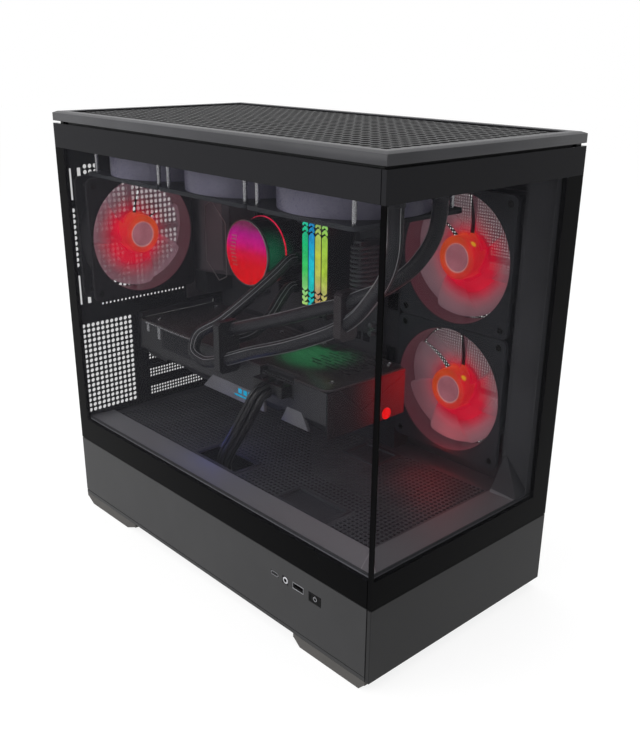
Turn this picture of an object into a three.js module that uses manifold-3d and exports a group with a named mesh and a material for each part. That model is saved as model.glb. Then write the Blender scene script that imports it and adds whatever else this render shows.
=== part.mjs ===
// Desktop computer tower with wrap-round glass, liquid cooler and graphics card.
// Millimetres, +Z up, the front glass faces -Y and the side glass faces -X.
// The origin is on the floor, under the middle of the case.
import * as THREE from 'three';
import { mergeVertices } from 'three/addons/utils/BufferGeometryUtils.js';
import { ConvexGeometry } from 'three/addons/geometries/ConvexGeometry.js';
import Module from 'manifold-3d';

const wasm = await Module();
wasm.setup();

// ---------------------------------------------------------------- outer case
const caseWidth = 224;
const caseDepth = 426;
const caseHeight = 407;
const fit = 0.4;                 // clearance round a piece that slots into another
const seat = 0.3;                // gap under a piece that rests on another
const over = 1;                  // how far a cutting tool runs past the metal it cuts
const steel = 1;                 // thickness of the steel sheets
const halfWidth = caseWidth / 2;
const halfDepth = caseDepth / 2;
const footHeight = 10;           // floor to the lower edge of the skirts
const panUnder = 7;              // floor to the under side of the bottom pan
const skirtTop = 75.6;           // the power supply needs this much of the height
const skirtWall = 2.5;
const glassGap = 0.8;
const glassBottom = skirtTop + glassGap;
const glassThick = 4;
const lidBottom = caseHeight - 8.6;
const glassTop = lidBottom - 2.1;
const lidWall = 2.5;
const lidChamferRise = 1.4;
const lidChamferInset = 3.7;
const meshRecess = 1;
const meshInset = 11;
const meshThick = 1.4;
const lidStud = { x: halfWidth - 14, y: halfDepth - 15, radius: 3 };

const leftIn = -halfWidth + glassThick + fit;     // just inside the side glass
const frontIn = -halfDepth + glassThick + fit;    // just inside the front glass
const backPanelY = halfDepth - 4.2;                         // inner face of the rear panel
const panTop = panUnder + steel;
const frameTopZ = lidBottom + 2.6;                         // under side of the top frame

// ---------------------------------------------------------- inner metalwork
const trayX = halfWidth - 32;    // left face of the motherboard tray
const trayTop = frameTopZ - fit;
const fanPlateX = halfWidth - 11.3; // left face of the side fan plate
const shroudTop = skirtTop + 20.4;
const shroudLeft = -halfWidth + 9;
const shroudRight = halfWidth - 9.3;
const shroudFront = -halfDepth + 9;
const ledgeOuterZ = shroudTop + 3.8;
const ledgeInnerZ = shroudTop + 1.6;
const ledgeInnerX = -halfWidth + 38;
const ledgeInnerY = -halfDepth + 37;
const ledgeThick = 1.2;
const pillarGlassX = halfWidth - 22; // pillar edge on the front glass
const pillarInnerX = halfWidth - 32; // pillar edge beside the fans
const pillarInnerY = -halfDepth + 26;

// ------------------------------------------------------------------ the fans
const fanSize = 120;
const fanDepth = 25;
const fanBore = 57;
const fanFlange = 3.5;
const fanBlades = 7;
const fanTip = 55;
const hubRadius = 19;
const fanScrew = 52.5;           // screw holes lie this far from the centre lines
const radiatorHeight = 27;
const radiatorFanX = -halfWidth + 79.5;
const radiatorFanZ = frameTopZ - 2 * seat - radiatorHeight - fanDepth;
const radiatorRear = backPanelY - 5.8;
const radiatorFront = radiatorRear - 397;
const radiatorFanYs = [0, 1, 2].map((i) => radiatorRear - 69.5 - i * fanSize);
const rearFan = { x: -halfWidth + 72.7, y: backPanelY - fanDepth - seat, z: frameTopZ - 114.4 };
const sideFanX = fanPlateX - fanDepth - fit;
const sideFanY = -halfDepth + 91.8;
const sideFanMiddle = (shroudTop + frameTopZ) / 2 - 10.45;
const sideFanZs = [sideFanMiddle + 60.05, sideFanMiddle - 60.05];

// ----------------------------------------------------------- board and card
const boardX = trayX - 8;        // left face of the motherboard
const boardThick = 1.6;
const boardSize = 244;
const boardRear = backPanelY - 3.8;
const boardFront = boardRear - boardSize;
const trayFrontY = boardFront - 18;
const boardTop = frameTopZ - 35;
const boardBottom = boardTop - boardSize;
const slotPitch = 20.32;
const cardZ = boardTop - 175.7;  // middle of the graphics card circuit board
const slotCount = 5;
const cardLeft = boardX - 112;
const cardRight = boardX - 15;
const cardRear = backPanelY - 8.8;
const cardFront = cardRear - 286;
const cardUnder = cardZ - 40.3;
const cardTop = cardZ + 3.3;
const backplateTop = cardTop + 2.4;
const cardFanX = boardX - 64;
const cardFanYs = [0, 1, 2].map((i) => cardRear - 52 - i * 92);
const cardFanTip = 42;
const pump = { y: boardRear - 121, z: boardTop - 89, radius: 33 };
const pumpCapRadius = 31;
const tubeRadius = 5.75;
const tankPortX = [radiatorFanX - 37.5, radiatorFanX + 8.5];
const tankPortY = radiatorFront + 10;
const portLength = 8;
const radiatorZ = radiatorFanZ + fanDepth + seat;

// ------------------------------------------------------------- power supply
const psuRear = backPanelY - 0.5;
const psu = {
  left: -65, right: 85, front: psuRear - 140.3, rear: psuRear, under: panTop + 0.6, top: panTop + 86.6,
};
const psuFan = { x: 10, y: psuRear - 70.3, radius: 58 };

// ------------------------------------------------------------- shape helpers
function toManifold(geometry) {
  geometry.deleteAttribute('normal');
  geometry.deleteAttribute('uv');
  const merged = mergeVertices(geometry, 1e-4);
  const mesh = new wasm.Mesh({
    numProp: 3,
    vertProperties: new Float32Array(merged.attributes.position.array),
    triVerts: new Uint32Array(merged.index.array),
  });
  mesh.merge();
  return new wasm.Manifold(mesh);
}

// The two limits of something that lies half either side of a middle.
function around(middle, half) {
  return [middle - half, middle + half];
}

// A block given by its limits along x, y and z.
function block(x, y, z) {
  const box = new THREE.BoxGeometry(x[1] - x[0], y[1] - y[0], z[1] - z[0]);
  box.translate((x[0] + x[1]) / 2, (y[0] + y[1]) / 2, (z[0] + z[1]) / 2);
  return toManifold(box);
}

// A round bar along one axis: centre gives the two other coordinates in order.
function bar(axis, radius, from, to, centre, sides = 24) {
  const shape = new THREE.CylinderGeometry(radius, radius, to - from, sides);
  const middle = (from + to) / 2;
  if (axis === 'x') {
    shape.rotateZ(Math.PI / 2);
    shape.translate(middle, centre[0], centre[1]);
  } else if (axis === 'y') {
    shape.translate(centre[0], middle, centre[1]);
  } else {
    shape.rotateX(Math.PI / 2);
    shape.translate(centre[0], centre[1], middle);
  }
  return toManifold(shape);
}

// The convex solid that has the given corners.
function hull(corners) {
  return toManifold(new ConvexGeometry(corners.map((c) => new THREE.Vector3(...c))));
}

// A round bar that follows a smooth curve through the given points.
function hose(points, radius, steps, sides = 10) {
  const curve = new THREE.CatmullRomCurve3(points.map((p) => new THREE.Vector3(...p)));
  const circle = new THREE.Shape();
  circle.absarc(0, 0, radius, 0, 2 * Math.PI);
  return toManifold(new THREE.ExtrudeGeometry(circle, {
    steps, curveSegments: sides / 2, extrudePath: curve,
  }));
}

function join(...solids) {
  return solids.reduce((whole, next) => whole.add(next));
}

function cut(solid, ...tools) {
  return tools.reduce((rest, tool) => rest.subtract(tool), solid);
}

// ------------------------------------------------------------- materials
function paintedSteel(color = 0x2b2c2e) {
  return new THREE.MeshStandardMaterial({ color, roughness: 0.55, metalness: 0.3 });
}
function mattePlastic(color = 0x1d1d1f) {
  return new THREE.MeshStandardMaterial({ color, roughness: 0.6, metalness: 0 });
}
function glossPlastic(color = 0x101012) {
  return new THREE.MeshStandardMaterial({ color, roughness: 0.25, metalness: 0 });
}
function bareMetal(color = 0xb9bbbe) {
  return new THREE.MeshStandardMaterial({ color, roughness: 0.35, metalness: 1 });
}
function rubber(color = 0x3a3836) {
  return new THREE.MeshStandardMaterial({ color, roughness: 0.85, metalness: 0 });
}
function tintedGlass() {
  return new THREE.MeshStandardMaterial({
    color: 0x2a2b2d, roughness: 0.05, metalness: 0, transparent: true, opacity: 0.4,
  });
}
function frosted(color = 0xb9a3a4) {
  return new THREE.MeshStandardMaterial({ color, roughness: 0.5, metalness: 0 });
}
function lit(color) {
  return new THREE.MeshStandardMaterial({
    color, emissive: color, emissiveIntensity: 0.6, roughness: 0.4, metalness: 0,
  });
}

const model = new THREE.Group();
model.name = 'desktop_computer_tower';

function piece(name, material, solid) {
  const { numProp, vertProperties, triVerts } = solid.getMesh();
  const positions = new Float32Array((vertProperties.length / numProp) * 3);
  for (let i = 0; i < positions.length / 3; i += 1) {
    for (let k = 0; k < 3; k += 1) positions[i * 3 + k] = vertProperties[i * numProp + k];
  }
  const geometry = new THREE.BufferGeometry();
  geometry.setAttribute('position', new THREE.BufferAttribute(positions, 3));
  geometry.setIndex(Array.from(triVerts));
  geometry.computeVertexNormals();
  const mesh = new THREE.Mesh(geometry, material);
  mesh.name = name;
  model.add(mesh);
}

// ------------------------------------------------------------ case body
const panHalfWidth = halfWidth - 5;
const panRight = halfWidth - 8;
const panFront = -halfDepth + 6;
const panRear = halfDepth - 5;
const panLip = 12;
const panIntake = {
  x: [psu.left + 13, psu.right - 13],
  y: [psu.front + 10, psu.rear - 10.3],
};

function bottomPan() {
  const x = [-panHalfWidth, panRight];
  const y = [panFront, panRear];
  const lipZ = [panUnder, panTop + panLip];
  return cut(
    join(
      block(x, y, [panUnder, panTop]),
      block([x[0], x[0] + steel], y, lipZ),
      block([x[1] - steel, x[1]], y, lipZ),
      block(x, [y[0], y[0] + steel], lipZ),
    ),
    block(panIntake.x, panIntake.y, [panUnder - over, panTop + over]),
  );
}

const ioOpening = { x: [boardX - 46, boardX + 2], z: [cardZ + 14.2, boardTop - 3] };
const slotOpening = { x: [boardX - 106, boardX - 10], half: 6.5 };
const psuOpening = {
  x: [psu.left + 4, psu.right - 4],
  z: [psu.under + 3.9, psu.top - 4.1],
};

function slotZ(index) {
  return cardZ - index * slotPitch;
}

const rearLeft = -halfWidth + 6;
const rearHem = 14;              // depth of the hem that the side glass closes on

function rearPanel() {
  const y = [backPanelY, backPanelY + steel];
  const top = frameTopZ - fit;
  const through = [y[0] - over, y[1] + over];
  const hemX = [rearLeft, rearLeft + steel];
  let sheet = join(
    block([rearLeft, panRight], y, [panTop + fit, top]),
    block(hemX, [y[1] - rearHem, y[1]], [ledgeOuterZ + over, top]),
  );
  sheet = cut(
    sheet,
    block(ioOpening.x, through, ioOpening.z),
    block(psuOpening.x, through, psuOpening.z),
  );
  for (let i = 0; i < slotCount; i += 1) {
    const z = slotZ(i);
    sheet = cut(
      sheet,
      block(slotOpening.x, through, [z - slotOpening.half, z + slotOpening.half]),
    );
  }
  return sheet;
}

const trayRear = backPanelY - fit;
const fanPlateFront = -halfDepth + 13;
const backHole = { y: [pump.y - 34, pump.y + 36], z: [pump.z - 42, pump.z + 43] };
const standoffYs = [boardFront + 9, boardFront + 83, boardRear - 15];
const standoffZs = [boardBottom + 8, boardBottom + 78, boardTop - 8];
const cableSlotY = [trayFrontY + 2, boardFront - 3];
const cableSlots = [
  { y: cableSlotY, z: [boardTop - 130, boardTop - 50] },
  { y: cableSlotY, z: [boardBottom + 8, boardBottom + 78] },
];

function motherboardTray() {
  const z = [shroudTop + seat, trayTop];
  const stepY = [trayFrontY, trayFrontY + steel];
  const fanPlateRight = fanPlateX + steel;
  let sheet = join(
    block([trayX, trayX + steel], [trayFrontY, trayRear], z),
    block([trayX, fanPlateRight], stepY, z),
    block([fanPlateX, fanPlateRight], [fanPlateFront, stepY[1]], z),
  );
  for (const fanZ of sideFanZs) {
    const centre = [sideFanY, fanZ];
    sheet = cut(sheet, bar('x', fanBore, fanPlateX - over, fanPlateRight + over, centre));
  }
  for (const hole of [...cableSlots, backHole]) {
    sheet = cut(sheet, block([trayX - over, trayX + steel + over], hole.y, hole.z));
  }
  for (const y of standoffYs) {
    for (const height of standoffZs) {
      sheet = join(sheet, bar('x', 3, boardX + boardThick + seat, trayX + 0.5, [y, height], 6));
    }
  }
  return sheet;
}

const flangeDrop = 16;
const topFrameHalf = halfWidth - 5.5;
const topFrameFront = -halfDepth + 7;
const pillarRight = halfWidth - 14;
const frameOpening = {
  x: [radiatorFanX - 51.5, radiatorFanX + 51.5],
  y: [radiatorFront + 37, radiatorRear - 19],
};

function topFrame() {
  const z = [frameTopZ, frameTopZ + steel];
  const flangeZ = [frameTopZ - flangeDrop, z[1]];
  const plate = block([-topFrameHalf, topFrameHalf], [topFrameFront, panRear], z);
  const left = block(
    [-topFrameHalf, -topFrameHalf + steel], [topFrameFront, backPanelY - rearHem - fit * 2], flangeZ,
  );
  const front = block(
    [-topFrameHalf, topFrameHalf - 2], [topFrameFront, topFrameFront + steel], flangeZ,
  );
  const opening = block(frameOpening.x, frameOpening.y, [z[0] - over, z[1] + over]);
  return cut(join(plate, left, front), opening);
}

const shroudHoles = [
  { x: [shroudLeft + 33, shroudLeft + 61], y: [cardRear - 196, cardRear - 136] },
  { x: [shroudLeft + 33, shroudLeft + 59], y: [shroudFront + 86, shroudFront + 146] },
  { x: [trayX - 40, trayX - 10], y: [trayFrontY - 13, trayFrontY + 27] },
];

const ioZ = skirtTop - 19.1;      // height of the row of sockets in the side skirt
const socketNotch = { y: [-halfDepth + 71, -halfDepth + 121], z: [ioZ - 10.5, ioZ + 11.5] };

function psuShroud() {
  const z = [shroudTop - steel, shroudTop];
  const length = [shroudFront, trayRear];
  const width = [shroudLeft, shroudRight];
  const wallZ = [panTop + seat, z[1]];
  const body = join(
    block(width, length, z),
    block([shroudLeft, shroudLeft + steel], length, wallZ),
    block([shroudRight - steel, shroudRight], length, wallZ),
    block(width, [shroudFront, shroudFront + steel], wallZ),
  );
  const notchX = [shroudLeft - over, shroudLeft + steel + over];
  return cut(
    body,
    block(notchX, socketNotch.y, socketNotch.z),
    ...shroudHoles.map((hole) => block(hole.x, hole.y, [z[0] - over, z[1] + over])),
  );
}

// The sloping ledge under the two glasses, its corner facet and the right pillar.
function windowLiner() {
  const outerX = leftIn + 0.1;
  const outerY = frontIn + 0.1;
  const rear = backPanelY - fit;
  const facetSide = [outerX, -halfDepth + 18];
  const facetFront = [-halfWidth + 9, outerY];
  const slab = (corners) => hull(corners.flatMap(([x, y, z]) => [[x, y, z], [x, y, z - ledgeThick]]));
  const inner = [ledgeInnerX, ledgeInnerY, ledgeInnerZ];
  const side = slab([
    [...facetSide, ledgeOuterZ], [outerX, rear, ledgeOuterZ],
    [ledgeInnerX, rear, ledgeInnerZ], inner,
  ]);
  const front = slab([
    [...facetFront, ledgeOuterZ], [pillarGlassX, outerY, ledgeOuterZ],
    [pillarInnerX, ledgeInnerY, ledgeInnerZ], inner,
  ]);
  const facet = slab([[...facetSide, ledgeOuterZ], [...facetFront, ledgeOuterZ], inner]);
  const pillarSection = [
    [pillarGlassX, outerY], [pillarInnerX, pillarInnerY], [pillarInnerX, pillarInnerY + 3],
    [pillarRight, pillarInnerY + 3], [pillarRight, outerY],
  ];
  const pillarTop = frameTopZ - flangeDrop - fit;
  const pillar = hull(pillarSection.flatMap(
    ([x, y]) => [[x, y, ledgeInnerZ - ledgeThick], [x, y, pillarTop]],
  ));
  const wedge = hull([
    [pillarInnerX + 1, pillarInnerY, ledgeInnerZ + 39.4], [pillarGlassX + 1, outerY, ledgeOuterZ],
    [pillarInnerX - 8, outerY, ledgeOuterZ], [pillarInnerX, pillarInnerY, ledgeInnerZ],
    [pillarGlassX + 1, pillarInnerY, ledgeInnerZ], [pillarInnerX - 6, ledgeInnerY - 2, ledgeInnerZ - 0.5],
  ]);
  return join(side, front, facet, pillar, wedge);
}

// The sockets and the button sit in a row on the side skirt.
const usbC = { y: -halfDepth + 110.6, width: 9.4, height: 3.6, depth: 9 };
const audio = { y: -halfDepth + 97.1, radius: 3.3, bore: 1.9, depth: 14 };
const usbA = { y: -halfDepth + 81.6, width: 13.4, height: 6, depth: 14 };
const button = { y: -halfDepth + 61.4, z: ioZ - 0.6, width: 14, height: 8.4 };

// A window in the side skirt that clears a socket or the button all round.
function skirtWindow({ y, z = ioZ, width, height }) {
  const halfY = width / 2 + seat;
  const halfZ = height / 2 + seat;
  return block(
    [-halfWidth - over, -halfWidth + skirtWall + over],
    [y - halfY, y + halfY],
    [z - halfZ, z + halfZ],
  );
}

const skirtLip = 2;
const clipHalf = 8;
const clipZ = [12, 18];
const skirtReturn = frontIn - 0.6;

function sideSkirt() {
  const x = [-halfWidth, -halfWidth + skirtWall];
  const y = [frontIn + seat, halfDepth];
  const wall = block(x, y, [footHeight, skirtTop]);
  const lip = block(
    [x[0], shroudLeft - 1.5], [y[0], backPanelY - 1.8], [skirtTop - skirtLip, skirtTop],
  );
  const clips = [-190, 10, 190].map((at) => block(
    [x[0], -panHalfWidth - seat], [at - clipHalf, at + clipHalf], clipZ,
  ));
  const jackHole = bar('x', audio.radius + seat, x[0] - over, x[1] + over, [audio.y, ioZ], 20);
  return cut(
    join(wall, lip, ...clips),
    ...[usbC, usbA, button].map(skirtWindow),
    jackHole,
  );
}

function frontSkirt() {
  const y = [-halfDepth, -halfDepth + skirtWall];
  const wall = block([-halfWidth, halfWidth], y, [footHeight, skirtTop]);
  const lip = block(
    [-panRight, panRight], [y[0], shroudFront - 1], [skirtTop - skirtLip, skirtTop],
  );
  const returns = [
    block([-halfWidth, -halfWidth + skirtWall], [y[0], skirtReturn], [footHeight, skirtTop]),
    block([halfWidth - skirtWall, halfWidth], [y[0], skirtReturn], [footHeight, skirtTop]),
  ];
  const clips = [-80, 0, 80].map((at) => block(
    [at - clipHalf, at + clipHalf], [y[0], panFront - seat], clipZ,
  ));
  return join(wall, lip, ...returns, ...clips);
}

const footWidth = 26;

// A foot tapers towards the floor. side is -1 on the glass side, +1 on the other.
function foot(side, topY, floorY) {
  const outer = side * (halfWidth - 0.2);
  const inner = side * (halfWidth - footWidth);
  const corners = [];
  for (const x of [outer, inner]) {
    for (const y of floorY) corners.push([x, y, 0]);
    for (const y of topY) corners.push([x, y, panUnder - seat]);
  }
  const rimX = [outer, side * (panHalfWidth + fit)].sort((a, b) => a - b);
  return join(hull(corners), block(rimX, topY, [panUnder - over, footHeight - seat]));
}

const panelFold = 7;

function rightPanel() {
  const y = [frontIn + seat, halfDepth];
  const z = [footHeight, glassTop + 1.2];
  const foldX = [halfWidth - panelFold, halfWidth];
  return join(
    block([halfWidth - steel, halfWidth], y, z),
    block(foldX, y, [z[1] - steel, z[1]]),
    block(foldX, y, [z[0], z[0] + steel]),
    block(foldX, [y[1] - steel, y[1]], z),
  );
}

function topPanel() {
  const levels = [
    [0, lidBottom], [0, caseHeight - lidChamferRise], [lidChamferInset, caseHeight],
  ];
  const corners = levels.flatMap(([step, z]) => [-1, 1].flatMap((sx) => [-1, 1].map(
    (sy) => [sx * (halfWidth - step), sy * (halfDepth - step), z],
  )));
  const inset = (amount, z) => block(
    [-halfWidth + amount, halfWidth - amount],
    [-halfDepth + amount, halfDepth - amount],
    z,
  );
  const hollow = inset(lidWall, [lidBottom - over, caseHeight - meshRecess - meshThick]);
  const recess = inset(meshInset, [caseHeight - meshRecess, caseHeight + over]);
  const studZ = [frameTopZ + steel + seat, caseHeight - meshRecess - over];
  const studs = [-1, 1].flatMap((sx) => [-1, 1].map((sy) => bar(
    'z', lidStud.radius, ...studZ, [sx * lidStud.x, sy * lidStud.y], 8,
  )));
  return join(cut(hull(corners), hollow, recess), ...studs);
}

function sideGlass() {
  const x = [-halfWidth, -halfWidth + glassThick];
  return block(x, [frontIn + seat, halfDepth], [glassBottom, glassTop]);
}

function frontGlass() {
  const y = [-halfDepth, -halfDepth + glassThick];
  return block([-halfWidth, halfWidth], y, [glassBottom, glassTop]);
}

const filter = {
  x: [panIntake.x[0] - 10, panIntake.x[1] + 10],
  y: [panIntake.y[0] - 12, panRear - 2],
  z: [4.2, panUnder - fit],
};
const filterRim = 7;
const filterMesh = 1;

function dustFilter() {
  const [left, right] = filter.x;
  const [front, rear] = filter.y;
  const dish = block(
    [left + filterRim, right - filterRim],
    [front + filterRim, rear - filterRim],
    [filter.z[0] - over, filter.z[1] - filterMesh],
  );
  const grip = block([0, 20], [rear - over, rear + 5], filter.z);
  return join(cut(block(filter.x, filter.y, filter.z), dish), grip);
}

piece('bottom_pan', paintedSteel(), bottomPan());
piece('rear_panel', paintedSteel(), rearPanel());
piece('motherboard_tray', paintedSteel(), motherboardTray());
piece('top_frame', paintedSteel(), topFrame());
piece('psu_shroud', paintedSteel(), psuShroud());
piece('window_liner', mattePlastic(0x46464a), windowLiner());
piece('side_skirt', paintedSteel(0x4c4c4e), sideSkirt());
piece('front_skirt', paintedSteel(0x424244), frontSkirt());
// The limits of a foot along y, at its top and on the floor.
const frontFoot = [
  [-halfDepth + 4.4, -halfDepth + 87.6], [-halfDepth + 10.7, -halfDepth + 79.4],
];
const rearFoot = [
  [halfDepth - 95.5, halfDepth - 0.2], [halfDepth - 80, halfDepth - 11.5],
];
const footPlaces = [
  ['foot_front_left', -1, ...frontFoot],
  ['foot_front_right', 1, ...frontFoot],
  ['foot_rear_left', -1, ...rearFoot],
  ['foot_rear_right', 1, ...rearFoot],
];
for (const [name, side, topY, floorY] of footPlaces) {
  piece(name, rubber(), foot(side, topY, floorY));
}
piece('right_panel', paintedSteel(), rightPanel());
piece('top_panel', paintedSteel(0x4a4a50), topPanel());
piece('side_glass', tintedGlass(), sideGlass());
piece('front_glass', tintedGlass(), frontGlass());
piece('dust_filter', mattePlastic(), dustFilter());

// ---------------------------------------------------- sockets and button
function usbASocket() {
  const x = [-halfWidth, -halfWidth + usbA.depth];
  const shell = block(x, around(usbA.y, usbA.width / 2), around(ioZ, usbA.height / 2));
  const mouth = block([x[0] - over, x[1] - 3], around(usbA.y, 6.1), around(ioZ, 2.3));
  const tongue = block([x[0] + 1, x[1] - 2], around(usbA.y, 5.5), [ioZ + 0.2, ioZ + 2]);
  return join(cut(shell, mouth), tongue);
}

function usbCSocket() {
  const x = [-halfWidth, -halfWidth + usbC.depth];
  const shell = block(x, around(usbC.y, usbC.width / 2), around(ioZ, usbC.height / 2));
  const mouth = block([x[0] - over, x[1] - 2], around(usbC.y, 4.1), around(ioZ, 1.2));
  const tongue = block([x[0] + 1, x[1] - 1], around(usbC.y, 3.3), around(ioZ, 0.35));
  return join(cut(shell, mouth), tongue);
}

function audioSocket() {
  const x = [-halfWidth, -halfWidth + audio.depth];
  const barrel = bar('x', audio.radius, ...x, [audio.y, ioZ], 20);
  return cut(barrel, bar('x', audio.bore, x[0] - over, x[1] - 2, [audio.y, ioZ], 16));
}

const buttonTravel = 1;
const buttonDepth = 5;

function powerButton() {
  const x = [-halfWidth, -halfWidth + buttonDepth];
  const cap = block(x, around(button.y, button.width / 2), around(button.z, button.height / 2));
  const stemEnd = shroudLeft - buttonTravel - 0.2;
  return join(cap, bar('x', 1.8, x[1] - over, stemEnd, [button.y, button.z], 10));
}

piece('usb_c_socket', bareMetal(), usbCSocket());
piece('usb_a_socket', bareMetal(), usbASocket());
piece('audio_socket', bareMetal(), audioSocket());
piece('power_button', glossPlastic(), powerButton());

// ------------------------------------------------------------- power supply
const inlet = { x: [-48, -20], z: [58, 80], depth: 16 };
const rocker = { x: 0, z: 69, width: 13, height: 19, pin: 5 };
const psuBowl = 24;              // depth of the round recess for the fan

function psuCase() {
  const box = block([psu.left, psu.right], [psu.front, psu.rear], [psu.under, psu.top]);
  const bowlZ = [psu.under - over, psu.under + psuBowl];
  const bowl = bar('z', psuFan.radius + 2, ...bowlZ, [psuFan.x, psuFan.y], 32);
  const inletPocket = block(
    [inlet.x[0] - seat, inlet.x[1] + seat],
    [psu.rear - inlet.depth - seat, psu.rear + over],
    [inlet.z[0] - seat, inlet.z[1] + seat],
  );
  const rockerPocket = block(
    around(rocker.x, rocker.width / 2 + fit),
    [psu.rear - 14, psu.rear + over],
    around(rocker.z, rocker.height / 2 + 0.6),
  );
  return cut(box, bowl, inletPocket, rockerPocket);
}

function mainsInlet() {
  const y = [psu.rear - inlet.depth, psu.rear + 0.6];
  const body = block(inlet.x, y, inlet.z);
  const x = (inlet.x[0] + inlet.x[1]) / 2;
  const z = (inlet.z[0] + inlet.z[1]) / 2;
  const mouth = block(around(x, 12), [y[0] + 2, y[1] + over], around(z, 8));
  const pins = [[-7, -2], [0, 2], [7, -2]].map(([dx, dz]) => block(
    around(x + dx, 1), [y[0] + over, y[1] - 2], around(z + dz, 2),
  ));
  return join(cut(body, mouth), ...pins);
}

// The rocker turns about a pin along x, at the centre of its round back.
function psuRocker() {
  const y = psu.rear - rocker.pin;
  const x = around(rocker.x, rocker.width / 2);
  const back = bar('x', rocker.pin, ...x, [y, rocker.z], 16);
  const [low, high] = around(rocker.z, rocker.height / 2 - 0.7);
  const profile = [
    [y, rocker.z - 4.5], [y, rocker.z + 4.5], [y + 5.5, high], [y + 2.5, rocker.z],
    [y + 3, low], [y, low], [y + 2, high],
  ];
  return join(back, hull(x.flatMap((at) => profile.map(([py, pz]) => [at, py, pz]))));
}

piece('psu_case', paintedSteel(0x1e1e20), psuCase());
piece('mains_inlet', mattePlastic(), mainsInlet());
piece('psu_rocker', glossPlastic(), psuRocker());

// ---------------------------------------------------------------- the fans
// Fans are drawn lying in the XY plane with the struts at the top, then turned.
function place(solid, axis, centre, start) {
  const mesh = solid.getMesh();
  const points = new Float32Array(mesh.vertProperties);
  for (let i = 0; i < points.length; i += mesh.numProp) {
    const [a, b, c] = [points[i], points[i + 1], points[i + 2]];
    if (axis === 'z') {
      points[i] = a + centre[0];
      points[i + 1] = b + centre[1];
      points[i + 2] = c + start;
    } else if (axis === 'x') {
      points[i] = c + start;
      points[i + 1] = a + centre[0];
      points[i + 2] = b + centre[1];
    } else {
      points[i] = b + centre[0];
      points[i + 1] = c + start;
      points[i + 2] = a + centre[1];
    }
  }
  return new wasm.Manifold(new wasm.Mesh({
    numProp: mesh.numProp, vertProperties: points, triVerts: mesh.triVerts,
  }));
}

const frameHalf = fanSize / 2 - 0.15;
const statorDepth = 3;

function fanFrame() {
  const [near, far] = [frameHalf - 3, frameHalf];
  const plate = (levels) => hull(levels.flatMap((level) => [-1, 1].flatMap(
    (sx) => [-1, 1].flatMap((sy) => [
      [sx * near, sy * far, level], [sx * far, sy * near, level],
    ]),
  )));
  const duct = bar('z', frameHalf - 0.05, 1, fanDepth - 1, [0, 0], 24);
  const strutLevel = [fanDepth - statorDepth, fanDepth];
  const reach = fanBore + 1.2;
  const frame = join(
    cut(
      join(plate([0, fanFlange]), plate([fanDepth - fanFlange, fanDepth]), duct),
      bar('z', fanBore, -over, fanDepth + over, [0, 0], 24),
    ),
    block([-reach, reach], [-2, 2], strutLevel),
    block([-2, 2], [-reach, reach], strutLevel),
    bar('z', hubRadius, ...strutLevel, [0, 0], 16),
  );
  const screwHoles = [-1, 1].flatMap((sx) => [-1, 1].map((sy) => bar(
    'z', 2.2, -over, fanDepth + over, [sx * fanScrew, sy * fanScrew], 6,
  )));
  return cut(frame, ...screwHoles);
}

// Blades are twisted plates, steeper at the hub than at the tip.
function rotor(tip, hub, depth, blades) {
  let wheel = bar('z', hub, 0, depth, [0, 0], 16);
  for (let i = 0; i < blades; i += 1) {
    const angle = (i * 2 * Math.PI) / blades;
    const corners = [];
    for (const [radius, spread, rise] of [[hub - 1.5, 0.3, 0.42], [tip, 0.27, 0.3]]) {
      for (const end of [-1, 1]) {
        const turn = angle + end * spread;
        const middle = depth / 2 + end * rise * depth;
        for (const side of [-0.7, 0.7]) {
          corners.push([radius * Math.cos(turn), radius * Math.sin(turn), middle + side]);
        }
      }
    }
    wheel = join(wheel, hull(corners));
  }
  return wheel;
}

const rotorStart = 2;
const rotorDepth = fanDepth - statorDepth - rotorStart - fit;

function addFan(name, axis, centre, start) {
  piece(`${name}_frame`, mattePlastic(), place(fanFrame(), axis, centre, start));
  const wheel = rotor(fanTip, hubRadius, rotorDepth, fanBlades);
  piece(`${name}_rotor`, frosted(), place(wheel, axis, centre, start + rotorStart));
}

radiatorFanYs.forEach((y, index) => {
  addFan(`radiator_fan_${index + 1}`, 'z', [radiatorFanX, y], radiatorFanZ);
});
addFan('rear_fan', 'y', [rearFan.x, rearFan.z], rearFan.y);
sideFanZs.forEach((z, index) => {
  addFan(`side_fan_${index + 1}`, 'x', [sideFanY, z], sideFanX);
});

const psuRotorDepth = 18;
const psuWheel = place(
  rotor(psuFan.radius - 2, 20, psuRotorDepth, fanBlades),
  'z', [psuFan.x, psuFan.y], psu.under + psuBowl - psuRotorDepth - fit,
);
piece('psu_rotor', mattePlastic(), psuWheel);

// --------------------------------------------------------------- motherboard
const ramPitch = 8.8;
const ramYs = [0, 1, 2, 3].map((i) => boardFront + 57.5 - i * ramPitch);
const ramZ = [boardTop - 140, boardTop - 7];
const ramReach = [boardX - 43, boardX - 6.2]; // outer edge and seated edge of a module
const cardEdge = { y: [cardRear - 128, cardRear - 42], x: boardX - 6 };
const slotReach = boardX - 11;    // the card slots stand out from the board to here
const slotLength = [cardEdge.y[0] - 4, cardEdge.y[1] + 4];
const portsX = boardX - 35;
const portsZ = [cardZ + 21.7, boardTop - 10];
const powerHeader = {
  x: boardX - 12, y: [boardFront + 3, boardFront + 12], z: [boardTop - 116, boardTop - 64],
};
const pumpSeat = boardX - 7;      // top of the processor in its socket

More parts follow.
